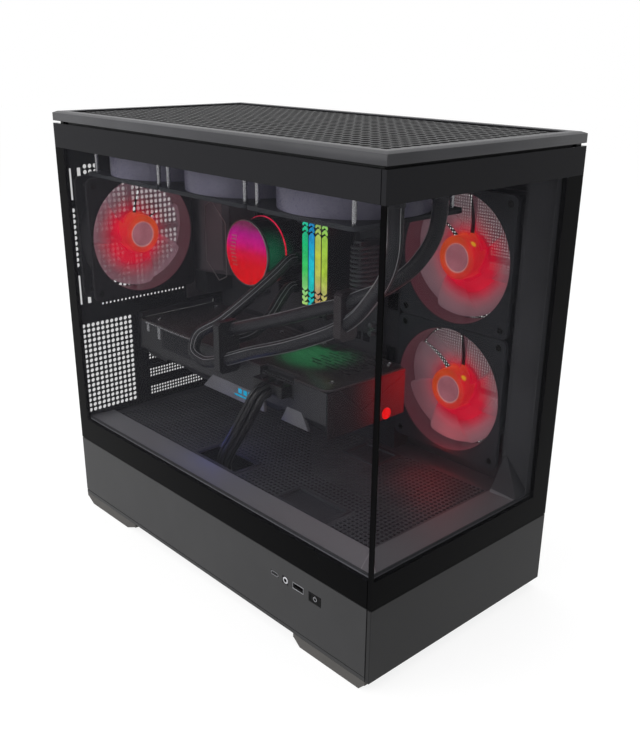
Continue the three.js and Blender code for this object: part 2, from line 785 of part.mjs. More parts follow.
function motherboard() {
  const intoBoard = boardX + 0.5;
  const cardSlot = (z) => block([slotReach, intoBoard], slotLength, around(z, 3.8));
  const edgeSlit = block(
    [slotReach - over, cardEdge.x + 0.5],
    [cardEdge.y[0] - 0.5, cardEdge.y[1] + 0.5],
    around(cardZ, 1.2),
  );
  return join(
    block([boardX, boardX + boardThick], [boardFront, boardRear], [boardBottom, boardTop]),
    block([portsX, intoBoard], [boardRear - 19, backPanelY + 1.7], portsZ),
    cut(cardSlot(cardZ), edgeSlit),
    cardSlot(slotZ(3)),
    block([powerHeader.x, intoBoard], powerHeader.y, powerHeader.z),
    ...ramYs.map((y) => block(
      [ramReach[1] + fit, intoBoard], around(y, 3), [ramZ[0] - 4, ramZ[1] + 3],
    )),
    block([pumpSeat, intoBoard], around(pump.y, 25), around(pump.z, 25)),
  );
}

function ioCover() {
  const [low, high] = [cardZ + 45.7, boardTop - 14];
  const faceX = boardX - 34;
  const roofX = [boardX - 42, boardX - 35.5];
  const topY = [boardRear - 63, boardRear - 21];
  const roofRear = boardRear + 1;
  const heatSink = hull([
    [faceX, topY[0], low + 4], [faceX, topY[0], high - 4],
    [faceX, topY[1], low], [faceX, topY[1], high],
    ...[topY[0] - 5, topY[1]].flatMap((y) => [[boardX - seat, y, low], [boardX - seat, y, high]]),
  ]);
  const roof = hull([
    [roofX[0], topY[0] + 4, low + 10], [roofX[0], topY[0] + 4, high - 10],
    [roofX[1], topY[0], low + 4], [roofX[1], topY[0], high - 4],
    ...roofX.flatMap((x) => [[x, roofRear, low], [x, roofRear, high]]),
  ]);
  const bridge = block(
    [roofX[1] - 0.5, faceX + 1], [topY[0] + 1, topY[1]], [low + 5, high - 5],
  );
  const shield = cut(
    block(
      [ioOpening.x[0] + fit, ioOpening.x[1] - fit],
      [boardRear + 0.6, backPanelY + 0.6],
      [ioOpening.z[0] + fit, ioOpening.z[1] - fit],
    ),
    block(
      [portsX - fit, boardX + 3],
      [boardRear, backPanelY + steel + over],
      [portsZ[0] - fit, portsZ[1] + fit],
    ),
  );
  return join(heatSink, roof, bridge, shield);
}

function chipsetHeatsink() {
  const x = [boardX - 10, boardX - seat];
  const y = [boardFront + 9, boardFront + 83];
  const z = [boardBottom + 12, boardBottom + 54];
  const grooves = [0, 1, 2, 3, 4].map((i) => block(
    [x[0] - over, x[0] + 3], [y[0] + 8 + i * 12, y[0] + 12 + i * 12], [z[0] - over, z[1] + over],
  ));
  return cut(block(x, y, z), ...grooves);
}

function ramModule(y) {
  const ring = (x, halfThick, trim) => [-1, 1].flatMap((side) => [
    [x, y + side * halfThick, ramZ[0] + trim], [x, y + side * halfThick, ramZ[1] - trim],
  ]);
  return hull([
    ...ring(ramReach[0], 2.4, 2), ...ring(ramReach[0] + 2, 3.5, 0), ...ring(ramReach[1], 3.5, 0),
  ]);
}

piece('motherboard', mattePlastic(0x17181a), motherboard());
piece('io_cover', bareMetal(0x3a3a3e), ioCover());
piece('chipset_heatsink', bareMetal(0x3a3a3e), chipsetHeatsink());
const ramColors = [0x2ec27e, 0x2a9fd6, 0xd9a441, 0x9fcf3a];
ramYs.forEach((y, index) => {
  piece(`ram_module_${index + 1}`, lit(ramColors[index]), ramModule(y));
});

// ------------------------------------------------------------ liquid cooler
const pumpBodyX = [boardX - 39, boardX - 10];
const pumpNeckX = boardX - 57;
const fittingX = boardX - 24;
const fittingZs = [pump.z - 3, pump.z - 30];
const crossArm = 46;
const fittingY = pump.y - 41;
const elbowEnd = boardX - 34;

function pumpBlock() {
  const centre = [pump.y, pump.z];
  const armX = [boardX - 14, boardX - 11.5];
  const screwAt = crossArm - 6;
  const parts = [
    bar('x', pump.radius, ...pumpBodyX, centre),
    bar('x', pumpCapRadius, pumpNeckX, pumpBodyX[0] + over, centre),
    bar('x', 22, pumpBodyX[1] - over, pumpSeat - seat, centre, 16),
    block(armX, around(pump.y, crossArm), around(pump.z, 6)),
    block(armX, around(pump.y, 6), around(pump.z, crossArm)),
  ];
  for (const [dy, dz] of [[screwAt, 0], [-screwAt, 0], [0, screwAt], [0, -screwAt]]) {
    parts.push(bar('x', 3.5, armX[0] - 2, boardX - seat, [pump.y + dy, pump.z + dz], 8));
  }
  for (const z of fittingZs) {
    const inward = Math.sqrt(pump.radius ** 2 - (z - pump.z) ** 2) - 3;
    parts.push(bar('y', 5.4, fittingY, pump.y - inward, [fittingX, z], 12));
    parts.push(bar('x', tubeRadius, elbowEnd, fittingX + 5, [fittingY, z], 12));
  }
  return join(...parts);
}

function pumpCap() {
  return bar('x', pumpCapRadius - 0.6, pumpNeckX - 3, pumpNeckX - seat, [pump.y, pump.z], 36);
}

// The head tank at the front carries the two hose ports.
function radiator() {
  const x = around(radiatorFanX, fanSize / 2);
  const z = [radiatorZ, radiatorZ + radiatorHeight - seat];
  const coreX = [x[0] + 8, x[1] - 8];
  const coreY = [radiatorFront + 28, radiatorRear - 10];
  const body = cut(
    block(x, [radiatorFront, radiatorRear], z),
    block(coreX, coreY, [z[0] - over, z[0] + 3]),
    block(coreX, coreY, [z[1] - 3, z[1] + over]),
  );
  const ports = tankPortX.map((at) => bar(
    'z', 6.6, z[0] - portLength, z[0] + over, [at, tankPortY], 12,
  ));
  return join(body, ...ports);
}

const portEnd = radiatorZ - portLength - seat;
const tubeStart = elbowEnd - seat;
// Both tubes run from the pump, down beside the card, and up to the tank of the radiator. Each
// part of a route is given from what it passes.
const byPump = ([x, y, z]) => [boardX + x, pump.y + y, pump.z + z];
const byCard = ([x, y, z]) => [cardLeft + x, cardRear + y, cardTop + z];
const byTank = (index) => ([x, y, z]) => [tankPortX[index] + x, tankPortY + y, portEnd + z];
const tubeRoutes = [
  [
    [tubeStart, fittingY, fittingZs[0]],
    ...[[-40, -41, -3], [-54, -39, -13], [-78, -30, -33]].map(byPump),
    ...[
      [10, -128, 26], [-6, -113, 12], [-14, -116, -2], [-15, -136, -7], [-14, -160, 0],
      [-12, -200, 17], [-10, -254, 38], [-8, -306, 63],
    ].map(byCard),
    ...[
      [21, 57, -94.5], [15, 36, -76], [8, 14, -52], [2, 2, -30], [0, 0, -9], [0, 0, 0],
    ].map(byTank(0)),
  ],
  [
    [tubeStart, fittingY, fittingZs[1]],
    ...[[-40, -41, -30], [-54, -45, -37], [-76, -51, -52]].map(byPump),
    ...[
      [18, -162, 19], [6, -150, 15], [-3, -145, 17], [-9, -153, 23], [-7, -170, 31],
      [-5, -230, 53], [-5, -284, 74], [-6, -311, 84],
    ].map(byCard),
    ...[
      [-20, 60, -81], [-15, 36, -68.5], [-8, 15, -50], [-2, 3, -28], [0, 0, -9], [0, 0, 0],
    ].map(byTank(1)),
  ],
];

function tube(route, radius = tubeRadius) {
  return hose(route, radius, 38);
}

// A flat strap with two holes that holds the tubes side by side.
function tubeClamp(x, y, z) {
  const trim = 3;
  const outline = [
    [x[0] + trim, z[0]], [x[1] - trim, z[0]], [x[0], z[0] + trim], [x[1], z[0] + trim],
    [x[0] + trim, z[1]], [x[1] - trim, z[1]], [x[0], z[1] - trim], [x[1], z[1] - trim],
  ];
  const strap = hull(y.flatMap((at) => outline.map(([px, pz]) => [px, at, pz])));
  return cut(strap, ...tubeRoutes.map((route) => tube(route, tubeRadius + seat + 0.05)));
}

piece('pump_block', mattePlastic(), pumpBlock());
piece('pump_cap', lit(0xd2103f), pumpCap());
piece('radiator', paintedSteel(0x161617), radiator());
tubeRoutes.forEach((route, index) => {
  piece(`tube_${index + 1}`, rubber(0x19191b), tube(route));
});
piece('tube_clamp_rear', glossPlastic(0x2a292b), tubeClamp(
  [cardLeft - 24, cardLeft - 0.6], [cardRear - 170, cardRear - 162], [cardTop - 9.6, cardTop + 39.4],
));
piece('tube_clamp_front', glossPlastic(0x3a3238), tubeClamp(
  [cardLeft - 16, cardLeft + 2.5], [cardRear - 318, cardRear - 310], [cardTop + 56, cardTop + 96],
));

// ------------------------------------------------------------ graphics card
const cardBevel = 14;
const cardPower = { y: [cardFront + 42, cardFront + 86], z: [cardZ - 12.3, cardZ - 1.3] };
const cardFanWell = 14;

// The room that the power plug needs at the left edge of the card.
function plugNotch(z) {
  return block([cardLeft - over, cardLeft + 9], [cardPower.y[0] - 1, cardPower.y[1] + 1], z);
}

function cardShroud() {
  const shell = hull([cardRear, cardFront].flatMap((y) => [
    [cardLeft, y, cardTop], [cardRight, y, cardTop],
    [cardLeft, y, cardUnder + cardBevel], [cardLeft + cardBevel, y, cardUnder],
    [cardRight, y, cardUnder],
  ]));
  const wells = cardFanYs.map((y) => bar(
    'z', cardFanTip + 2, cardUnder - over, cardUnder + cardFanWell, [cardFanX, y], 28,
  ));
  const board = around(cardZ, 0.8);
  return join(
    cut(shell, ...wells, plugNotch([cardPower.z[0] - 2, cardTop + over])),
    block([cardLeft + 3, cardRight + 3], [cardFront + 30, cardRear], board),
    block([cardRight - over, cardEdge.x], cardEdge.y, board),
    block([cardLeft + 1, cardLeft + 10], cardPower.y, [cardPower.z[0], cardPower.z[1] + 1]),
  );
}

function cardBackplate() {
  const z = [cardTop + seat, backplateTop];
  const through = [z[0] - over, z[1] + over];
  const ventY = [cardFront + 10, cardFront + 62];
  const vents = [40, 56, 72].map((x) => block(
    [cardLeft + x, cardLeft + x + 8], ventY, through,
  ));
  const plate = block([cardLeft, cardRight], [cardFront - 2, cardRear], z);
  return cut(plate, plugNotch(through), ...vents);
}

const bracketY = [backPanelY - 1.7, backPanelY - 0.7];
const coverX = [boardX - 108, boardX - 12];
const coverHalf = 9.2;

function cardBracket() {
  const z = [slotZ(1) - coverHalf, slotZ(0) + coverHalf];
  return join(
    block(coverX, bracketY, z),
    block([coverX[0] - 1, coverX[0] + steel], [cardRear + fit, bracketY[1]], z),
    block(
      [cardRight - 37, cardRight - 27],
      [cardRear + seat, bracketY[0] + 0.5],
      [cardZ - 18.3, cardZ - 4.3],
    ),
  );
}

function slotCovers() {
  let comb = block(
    [coverX[0] - 10, coverX[0] + over],
    bracketY,
    [slotZ(slotCount - 1) - coverHalf, slotZ(2) + coverHalf],
  );
  for (let i = 2; i < slotCount; i += 1) {
    comb = join(comb, block(coverX, bracketY, around(slotZ(i), coverHalf)));
  }
  return comb;
}

piece('card_shroud', mattePlastic(0x303033), cardShroud());
piece('card_backplate', bareMetal(0x2c2c2f), cardBackplate());
piece('card_bracket', bareMetal(0x2a2a2c), cardBracket());
piece('slot_covers', paintedSteel(0x222224), slotCovers());
const cardRotorDepth = 11;
const cardRotorZ = cardUnder + cardFanWell - cardRotorDepth - fit;
cardFanYs.forEach((y, index) => {
  const wheel = rotor(cardFanTip, 14, cardRotorDepth, 9);
  piece(`card_rotor_${index + 1}`, mattePlastic(), place(wheel, 'z', [cardFanX, y], cardRotorZ));
});

// ---------------------------------------------------------- power cables
// The card lead drops from the card edge through the shroud opening.
function cardPowerCable() {
  const plug = block(
    [cardLeft - 12, cardLeft + 1 - fit],
    [cardPower.y[0] + 2, cardPower.y[1] - 2],
    cardPower.z,
  );
  const hole = shroudHoles[0];
  const x = (hole.x[0] + hole.x[1]) / 2;
  const y = (hole.y[0] + hole.y[1]) / 2;
  const fromCard = [[-10, 64, -6.8], [-20, 66, -12.3], [-26, 78, -32.3], [-26, 98, -58.3]];
  const fromHole = [[-6, -4, 12], [-1, 4, -8], [6, 10, -26], [12, 16, -40]];
  const route = [
    ...fromCard.map(([dx, dy, dz]) => [cardLeft + dx, cardFront + dy, cardZ + dz]),
    ...fromHole.map(([dx, dy, dz]) => [x + dx, y + dy, shroudTop + dz]),
  ];
  const lead = hose(route, 8, 24, 8);
  return join(plug, lead);
}

// The wide board lead comes round the tray edge to the header on the board.
function boardPowerCable() {
  const plug = block([powerHeader.x - 12, powerHeader.x - seat], powerHeader.y, powerHeader.z);
  const y = (powerHeader.y[0] + powerHeader.y[1]) / 2;
  const halfWide = (powerHeader.z[1] - powerHeader.z[0]) / 2 - 1;
  const halfThick = 2.6;
  const z = (powerHeader.z[0] + powerHeader.z[1]) / 2;
  const ribbon = new THREE.Shape([
    new THREE.Vector2(-halfWide, -halfThick), new THREE.Vector2(halfWide, -halfThick),
    new THREE.Vector2(halfWide, halfThick), new THREE.Vector2(-halfWide, halfThick),
  ]);
  const path = new THREE.CatmullRomCurve3([
    [-10, 0], [-18, -1], [-23, -6.5], [-20, -13.5], [-8, -17], [10, -17], [28, -17],
  ].map(([dx, dy]) => new THREE.Vector3(powerHeader.x + dx, y + dy, z)));
  const flat = toManifold(new THREE.ExtrudeGeometry(ribbon, { steps: 18, extrudePath: path }));
  return join(plug, flat);
}

piece('card_power_cable', rubber(0x1a1a1b), cardPowerCable());
piece('board_power_cable', rubber(0x1a1a1b), boardPowerCable());

export default model;
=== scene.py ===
# %% [markdown]
# # A desktop computer tower, dressed in Blender
# The solids of the tower arrive finished, in metres, each one riding on the body that moves it. They stay
# where they are. This lesson gives them their finishes and puts finer pieces in the place of the plain
# ones: perforated sheets, lit fans, memory modules, hoses, cables and screws.

# %% Load the solids
import math

import bpy
from mathutils import Matrix, Vector


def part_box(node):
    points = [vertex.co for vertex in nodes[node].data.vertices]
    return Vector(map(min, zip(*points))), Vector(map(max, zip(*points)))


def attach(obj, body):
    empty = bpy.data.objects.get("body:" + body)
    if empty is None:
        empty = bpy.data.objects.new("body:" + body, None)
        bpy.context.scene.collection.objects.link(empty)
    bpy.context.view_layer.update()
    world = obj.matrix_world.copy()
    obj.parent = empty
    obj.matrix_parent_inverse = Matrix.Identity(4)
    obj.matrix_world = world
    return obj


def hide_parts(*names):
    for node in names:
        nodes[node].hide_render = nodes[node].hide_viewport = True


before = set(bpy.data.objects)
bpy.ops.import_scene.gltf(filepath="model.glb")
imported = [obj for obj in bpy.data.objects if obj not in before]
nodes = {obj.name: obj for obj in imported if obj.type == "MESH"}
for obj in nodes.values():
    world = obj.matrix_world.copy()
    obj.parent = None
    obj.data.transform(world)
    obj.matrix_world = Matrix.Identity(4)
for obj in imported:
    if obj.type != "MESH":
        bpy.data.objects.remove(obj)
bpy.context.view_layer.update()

MM = 0.001


def limits(node):
    """The limits of a solid along x, y and z, in millimetres."""
    low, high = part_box(node)
    return [(low[i] / MM, high[i] / MM) for i in range(3)]


# %% [markdown]
# ## Camera and room
# A tower of this size is usually shown from a little above its glass corner. A camera is aimed by turning
# it about three axes in order: around the tower, down from level, and a small roll. The small shift keeps
# the tower in the middle of the frame.

# %% Camera
AROUND, DOWN, ROLL = -42.93, 21.31, 0.54
EYE = Vector((-525.96, -597.42, 469.59))
LENS, FILM_HEIGHT = 42.985, 36.0

camera_data = bpy.data.cameras.new("camera")
camera_data.sensor_fit = "VERTICAL"
camera_data.sensor_height = FILM_HEIGHT
camera_data.lens = LENS
camera_data.shift_x, camera_data.shift_y = 0.0036, 0.0197
camera_data.clip_start = 0.01
camera = bpy.data.objects.new("camera", camera_data)
bpy.context.collection.objects.link(camera)
camera.matrix_world = (
    Matrix.Translation(EYE * MM)
    @ Matrix.Rotation(math.radians(AROUND), 4, "Z")
    @ Matrix.Rotation(math.radians(90 - DOWN), 4, "X")
    @ Matrix.Rotation(math.radians(ROLL), 4, "Z")
)
bpy.context.scene.camera = camera
bpy.context.scene.view_settings.view_transform = "Standard"
print("camera stands", round(EYE.length), "mm from the origin")


# %% [markdown]
# A node material is a small graph. One function adds a node. What an input is set to may be a number, a
# colour, another node's output, or another node, whose first output is then meant. A colour ramp also
# takes its stops, and everything else is a setting of the node itself. Colours are written as the hex
# values seen on screen, so one more function turns them into the linear light that shaders work in.

# %% Node and colour helpers
def linear(hex_colour):
    """Turns an sRGB hex colour into linear red, green, blue and alpha."""
    channels = [int(hex_colour[i:i + 2], 16) / 255 for i in (1, 3, 5)]
    return [c / 12.92 if c <= 0.04045 else ((c + 0.055) / 1.055) ** 2.4 for c in channels] + [1.0]


def add(tree, kind, inputs=None, stops=(), **settings):
    """Adds a node, sets its settings and the stops of its ramp, and sets or links its inputs."""
    node = tree.nodes.new("ShaderNode" + kind)
    for name, value in settings.items():
        setattr(node, name, value)
    for name, value in (inputs or {}).items():
        if isinstance(value, bpy.types.Node):
            value = value.outputs[0]
        if isinstance(value, bpy.types.NodeSocket):
            tree.links.new(value, node.inputs[name])
        else:
            node.inputs[name].default_value = value
    if stops:
        points = node.color_ramp.elements
        while len(points) < len(stops):
            points.new(0.5)
        for point, (position, colour) in zip(points, stops):
            point.position = position
            point.color = colour
    return node


def maths(tree, operation, first, second):
    """Adds a sum of two values, or a comparison between them."""
    return add(tree, "Math", {0: first, 1: second}, operation=operation)


def empty_material(name):
    """A material without nodes, and its tree."""
    made = bpy.data.materials.new(name)
    made.use_nodes = True
    made.node_tree.nodes.clear()
    return made, made.node_tree


# %% [markdown]
# The room is plain and pale. The world looks white to the camera, and lights the tower more weakly from
# all sides. Two large soft lamps stand on the glass side and above, as softboxes in a studio do, so the
# side skirt is a little lighter than the front one; the coats of the two skirts are also painted lighter
# and darker, as painted light and shade. The floor throws light back like white paper, but to the camera
# it is a grey with white added, which keeps it white without glare and leaves a soft shadow under the case.

# %% World, floor and lamps
WHITE = (1, 1, 1, 1)
FILL_LEVEL, PAPER_GLOW = 0.62, 0.84
FLOOR_SIZE, FLOOR_GAP = 12, 0.0003  # metres; the gap keeps the floor just clear of the feet


def sees_backdrop(tree):
    """One where a ray comes from the camera, from a mirror or through glass."""
    ray = add(tree, "LightPath").outputs
    either = maths(tree, "MAXIMUM", ray["Is Camera Ray"], ray["Is Transmission Ray"])
    return maths(tree, "MAXIMUM", either, ray["Is Glossy Ray"])


world = bpy.data.worlds.new("studio")
bpy.context.scene.world = world
world.use_nodes = True
tree = world.node_tree
tree.nodes.clear()
white = add(tree, "Background", {"Color": WHITE, "Strength": 1.0})
fill = add(tree, "Background", {"Color": WHITE, "Strength": FILL_LEVEL})
either = add(tree, "MixShader", {0: sees_backdrop(tree), 1: fill, 2: white})
add(tree, "OutputWorld", {"Surface": either})

bpy.ops.object.select_all(action="DESELECT")
bpy.ops.mesh.primitive_plane_add(size=FLOOR_SIZE, location=(0, 0, -FLOOR_GAP))
floor = bpy.context.object
floor.name = "studio_floor"
paper, tree = empty_material("seamless_paper")
base, grey = (add(tree, "BsdfPrincipled", {"Base Color": linear(colour), "Roughness": 0.95,
                                           "Specular IOR Level": 0.1}) for colour in ("#e6e6e6", "#808080"))
glow = add(tree, "Emission", {"Color": WHITE, "Strength": PAPER_GLOW})
both = add(tree, "AddShader", {0: grey, 1: glow})
seen = add(tree, "MixShader", {0: sees_backdrop(tree), 1: base, 2: both})
add(tree, "OutputMaterial", {"Surface": seen})
floor.data.materials.append(paper)


def lamp(kind, name, place, watts, colour="#ffffff", aim=None, **settings):
    """A lamp at a place, turned to the point it is aimed at, both in millimetres."""
    data = bpy.data.lights.new(name, kind)
    data.energy = watts
    data.color = linear(colour)[:3]
    for key, value in settings.items():
        setattr(data, key, value)
    made = bpy.data.objects.new(name, data)
    bpy.context.collection.objects.link(made)
    made.location = Vector(place) * MM
    if aim:
        made.rotation_euler = (Vector(aim) - Vector(place)).to_track_quat("-Z", "Y").to_euler()


lamp("AREA", "side_softbox", (-1500, 300, 900), 17, aim=(0, 0, 200), size=1.3)
lamp("AREA", "top_softbox", (200, 200, 1900), 12, aim=(0, 0, 200), size=1.4)
print("room ready")

# %% [markdown]
# ## Tools for shaping
# Each piece starts as a primitive at its real size and place. Faces or edges are then picked by where
# they lie or which way they point, one mesh operator works on what is picked, and modifiers finish the
# piece. All lengths are typed in millimetres. Everything is deselected first, because an operator acts on
# all that is selected.

# %% Primitives, picking and modifiers
AXES = {"x": (0, math.radians(90), 0), "y": (math.radians(-90), 0, 0), "z": (0, 0, 0)}
NEARLY = 0.9  # the share of a direction's length that has to lie along an axis


def only(*objects):
    """Selects these objects and no others, and makes the first one active."""
    bpy.ops.object.select_all(action="DESELECT")
    for each in objects:
        each.select_set(True)
    bpy.context.view_layer.objects.active = objects[0]


def object_mode():
    """Leaves edit mode."""
    bpy.ops.object.mode_set(mode="OBJECT")


def settle(obj, name):
    """Puts an object's place into its mesh, and names it."""
    only(obj)
    bpy.ops.object.transform_apply(location=True, rotation=True, scale=True)
    obj.name = obj.data.name = name
    return obj


def grown(pair, by):
    """Limits moved apart at both ends by a distance, or together by a negative one."""
    return (pair[0] - by, pair[1] + by)


def block(name, x, y, z):
    """A cuboid between its limits."""
    only(floor)
    middle = [sum(pair) / 2 * MM for pair in (x, y, z)]
    size = [(pair[1] - pair[0]) * MM for pair in (x, y, z)]
    bpy.ops.mesh.primitive_cube_add(size=1, location=middle, scale=size)
    return settle(bpy.context.object, name)


def rod(name, axis, radius, start, end, centre, sides=32):
    """A round bar along an axis; centre gives the other two coordinates in order."""
    place = list(centre)
    place.insert("xyz".index(axis), (start + end) / 2)
    bpy.ops.mesh.primitive_cylinder_add(
        vertices=sides, radius=radius * MM, depth=abs(end - start) * MM,
        location=Vector(place) * MM, rotation=AXES[axis])
    return settle(bpy.context.object, name)


def pick(obj, choose, kind="FACE"):
    """Enters edit mode with the faces, edges or points for which choose(middle, direction) holds."""
    only(obj)
    bpy.ops.object.mode_set(mode="EDIT")
    bpy.ops.mesh.select_mode(type=kind)
    bpy.ops.mesh.select_all(action="DESELECT")
    object_mode()
    mesh = obj.data
    if kind == "FACE":
        parts = [(face, face.center, face.normal) for face in mesh.polygons]
    elif kind == "EDGE":
        ends = [[mesh.vertices[i].co for i in edge.vertices] for edge in mesh.edges]
        parts = [(edge, (a + b) / 2, (b - a).normalized()) for edge, (a, b) in zip(mesh.edges, ends)]
    else:
        parts = [(vertex, vertex.co, vertex.normal) for vertex in mesh.vertices]
    for part, middle, direction in parts:
        part.select = bool(choose(middle / MM, direction))
    bpy.ops.object.mode_set(mode="EDIT")


def facing(way):
    """Chooses the faces that look along an axis, such as "z", or against it, such as "-z"."""
    sign = -1 if way[0] == "-" else 1
    return lambda c, n: n["xyz".index(way[-1])] * sign > NEARLY


def work(obj, choose, operator, kind="FACE", **settings):
    """Picks a part of a mesh and runs one mesh operator on it."""
    pick(obj, choose, kind)
    operator(**settings)
    object_mode()
    return obj


def inset(obj, choose, *steps):
    """Insets the faces picked, once for each step, which is a width and a height."""
    pick(obj, choose)
    for width, height in steps:
        bpy.ops.mesh.inset(thickness=width * MM, depth=height * MM)
    object_mode()
    return obj


def round_corners(obj, axis, radius, segments, where=lambda c: True):
    """Rounds the edges of a cuboid that run along an axis."""
    along = "xyz".index(axis)
    return work(obj, lambda c, d: abs(d[along]) > NEARLY and where(c), bpy.ops.mesh.bevel, "EDGE",
                offset=radius * MM, segments=segments, affect="EDGES")


def modify(obj, kind, **settings):
    """Adds a modifier and applies it."""
    only(obj)
    modifier = obj.modifiers.new(kind.lower(), kind)
    for name, value in settings.items():
        setattr(modifier, name, value)
    bpy.ops.object.modifier_apply(modifier=modifier.name)
    return obj


def bevel(obj, width, segments=2, angle=40):
    """Rounds the edges that are sharper than an angle."""
    return modify(obj, "BEVEL", width=width * MM, segments=segments, limit_method="ANGLE",
                  angle_limit=math.radians(angle), harden_normals=False)


def remove(*objects):
    """Takes objects away that have done their work."""
    for each in objects:
        bpy.data.objects.remove(each)


def carve(obj, *cutters):
    """Cuts other objects out of this one, and removes them."""
    for cutter in cutters:
        modify(obj, "BOOLEAN", object=cutter, operation="DIFFERENCE", solver="EXACT")
        remove(cutter)
    return obj


def join(*objects):
    """Makes one object of several."""
    only(*objects)
    if len(objects) > 1:
        bpy.ops.object.join()
    return objects[0]


def copy(obj, move=(0, 0, 0), turn=None):
    """A copy with its own mesh, moved in millimetres, or turned by a matrix first."""
    twin = obj.copy()
    twin.data = obj.data.copy()
    bpy.context.collection.objects.link(twin)
    twin.matrix_world = Matrix.Translation(Vector(move) * MM) @ (turn or Matrix.Identity(4))
    return settle(twin, "copy")


def copies(shape, places, turn=None):
    """Copies of a shape made at the origin, at several places. The shape itself goes."""
    made = [copy(shape, place, turn) for place in places]
    remove(shape)
    return made


def placed(shape, place, turn=None):
    """A shape made at the origin, in its place."""
    return copies(shape, [place], turn)[0]


def piece(obj, name, material, body="chassis", replaces=(), smooth=35):
    """Finishes a piece: its name, finish, shading, body and the solids that it stands for."""
    obj.name = obj.data.name = name
    obj.data.materials.clear()
    obj.data.materials.append(material)
    only(obj)
    bpy.ops.object.shade_smooth_by_angle(angle=math.radians(smooth))
    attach(obj, body)
    if replaces:
        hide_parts(*replaces)
    print(name, len(obj.data.polygons), "faces")


# %% [markdown]
# ## Perforated sheets
# Steel for computer cases is punched with rows of holes. A field of round holes is a grid whose faces are
# inset one by one. Each inner face gets its corners cut, which makes it eight-sided, and is then deleted.
# A Solidify modifier gives the sheet its thickness, and the sheet is then stood up.

# %% Tool for holes
SHEET_TURNS = {"x": (90, 90), "y": (90, 0), "z": (0, 0)}  # degrees about x and z that face it along an axis


def hole_field(normal, level, across, up, counts, hole, thick, keep=None, cut=0.29):
    """A punched sheet. normal is the axis through it, level its middle, across and up its limits along the
    other two axes, and cut is the share of a hole's width by which its corners are cut."""
    sides = (across, up)
    size = [side[1] - side[0] for side in sides]
    middle = [(side[0] + side[1]) / 2 for side in sides]
    bpy.ops.mesh.primitive_grid_add(x_subdivisions=counts[0], y_subdivisions=counts[1], size=1,
                                    location=(0, 0, 0))
    bpy.context.object.scale = (size[0] * MM, size[1] * MM, 1)
    sheet = settle(bpy.context.object, "sheet")
    margin = (min(size[i] / counts[i] for i in range(2)) - hole) / 2
    pick(sheet, lambda c, n: keep is None or keep(c[0] + middle[0], c[1] + middle[1]))
    bpy.ops.mesh.inset(thickness=margin * MM, use_individual=True, use_boundary=True)
    if cut:
        bpy.ops.mesh.bevel(offset=hole * cut * MM, affect="VERTICES", segments=1)
        object_mode()
        pick(sheet, lambda c, n: False)
        object_mode()
        limit = (hole * MM) ** 2 * 1.02
        for face in sheet.data.polygons:
            face.select = len(face.vertices) == 8 and face.area < limit
        bpy.ops.object.mode_set(mode="EDIT")
    bpy.ops.mesh.delete(type="FACE")
    object_mode()
    modify(sheet, "SOLIDIFY", thickness=thick * MM, offset=0)
    tilt, spin = SHEET_TURNS[normal]
    sheet.rotation_euler = (math.radians(tilt), 0, math.radians(spin))
    middle.insert("xyz".index(normal), level)
    sheet.location = Vector(middle) * MM
    return settle(sheet, "sheet")


print("tools ready")

# %% [markdown]
# ## Finishes
# Most of the tower is steel with a black powder coat: a paint sprayed as powder and baked, which leaves a
# satin surface with a fine grain like orange peel. The grain is really about a third of a millimetre; it
# is drawn at about one millimetre so that it shows. Plastics are moulded with a matte grain. One function
# makes such finishes: a slow noise shifts the colour a little, a fine one makes the grain and the sheen
# uneven.

# %% Coated and moulded finishes
DRIFT_SCALE = 22.0  # the slow noise: one wave in about 45 mm
SHEEN_SPREAD = 0.06


def ranged(tree, value, start, end, low=0.0, high=1.0):
    """Turns a value between start and end into one between low and high."""
    return add(tree, "MapRange", {"Value": value, "From Min": start, "From Max": end, "To Min": low,
                                  "To Max": high})


def blend(tree, share, first, second):
    """A colour that goes from the first to the second with a share."""
    return add(tree, "Mix", {"Factor": share, 6: first, 7: second}, data_type="RGBA").outputs[2]


def finish(name, colour, roughness=0.5, metallic=0.0, grain=1.0, depth=0.02, drift=0.12, **sockets):
    """A finish with a grain (its size and depth in millimetres) and a slow drift in colour."""
    made, tree = empty_material(name)
    where = add(tree, "TexCoord").outputs["Object"]
    cloud = add(tree, "TexNoise", {"Vector": where, "Scale": DRIFT_SCALE, "Detail": 3.0})
    peel = add(tree, "TexNoise", {"Vector": where, "Scale": 1 / (grain * MM), "Detail": 2.0})
    plain = linear(colour)[:3]
    dark = [part * (1 - drift) for part in plain] + [1.0]
    light = [min(1.0, part * (1 + drift)) for part in plain] + [1.0]
    tone = add(tree, "ValToRGB", {"Fac": cloud}, stops=[(0.35, dark), (0.65, light)])
    sheen = ranged(tree, peel, 0.3, 0.7, max(roughness - SHEEN_SPREAD, 0.02), roughness + SHEEN_SPREAD)
    relief = add(tree, "Bump", {"Height": peel, "Strength": 0.6, "Distance": depth * MM})
    shader = add(tree, "BsdfPrincipled", {"Base Color": tone, "Roughness": sheen, "Metallic": metallic,
                                          "Normal": relief, **sockets})
    shader.name = "surface"
    add(tree, "OutputMaterial", {"Surface": shader})
    return made


def painted_ledge_light(material, colour, level, mitre, front_share):
    """Below a level the finish is painted paler, as painted light on the ledge: fully on the left arm of the
    ledge, by a share on the front arm, which starts at the mitre, where x is more than y by that distance."""
    tree = material.node_tree
    shader = tree.nodes["surface"]
    where = add(tree, "TexCoord").outputs["Object"]
    height = add(tree, "SeparateXYZ", {0: where}).outputs["Z"]
    below = maths(tree, "LESS_THAN", height, level * MM)
    away = add(tree, "VectorMath", {0: where, 1: (1, -1, 0)}, operation="DOT_PRODUCT").outputs["Value"]
    share = maths(tree, "MULTIPLY", below, ranged(tree, away, mitre * MM, (mitre - 3) * MM, front_share))
    mixed = blend(tree, share, shader.inputs["Base Color"].links[0].from_socket, linear(colour))
    tree.links.new(mixed, shader.inputs["Base Color"])


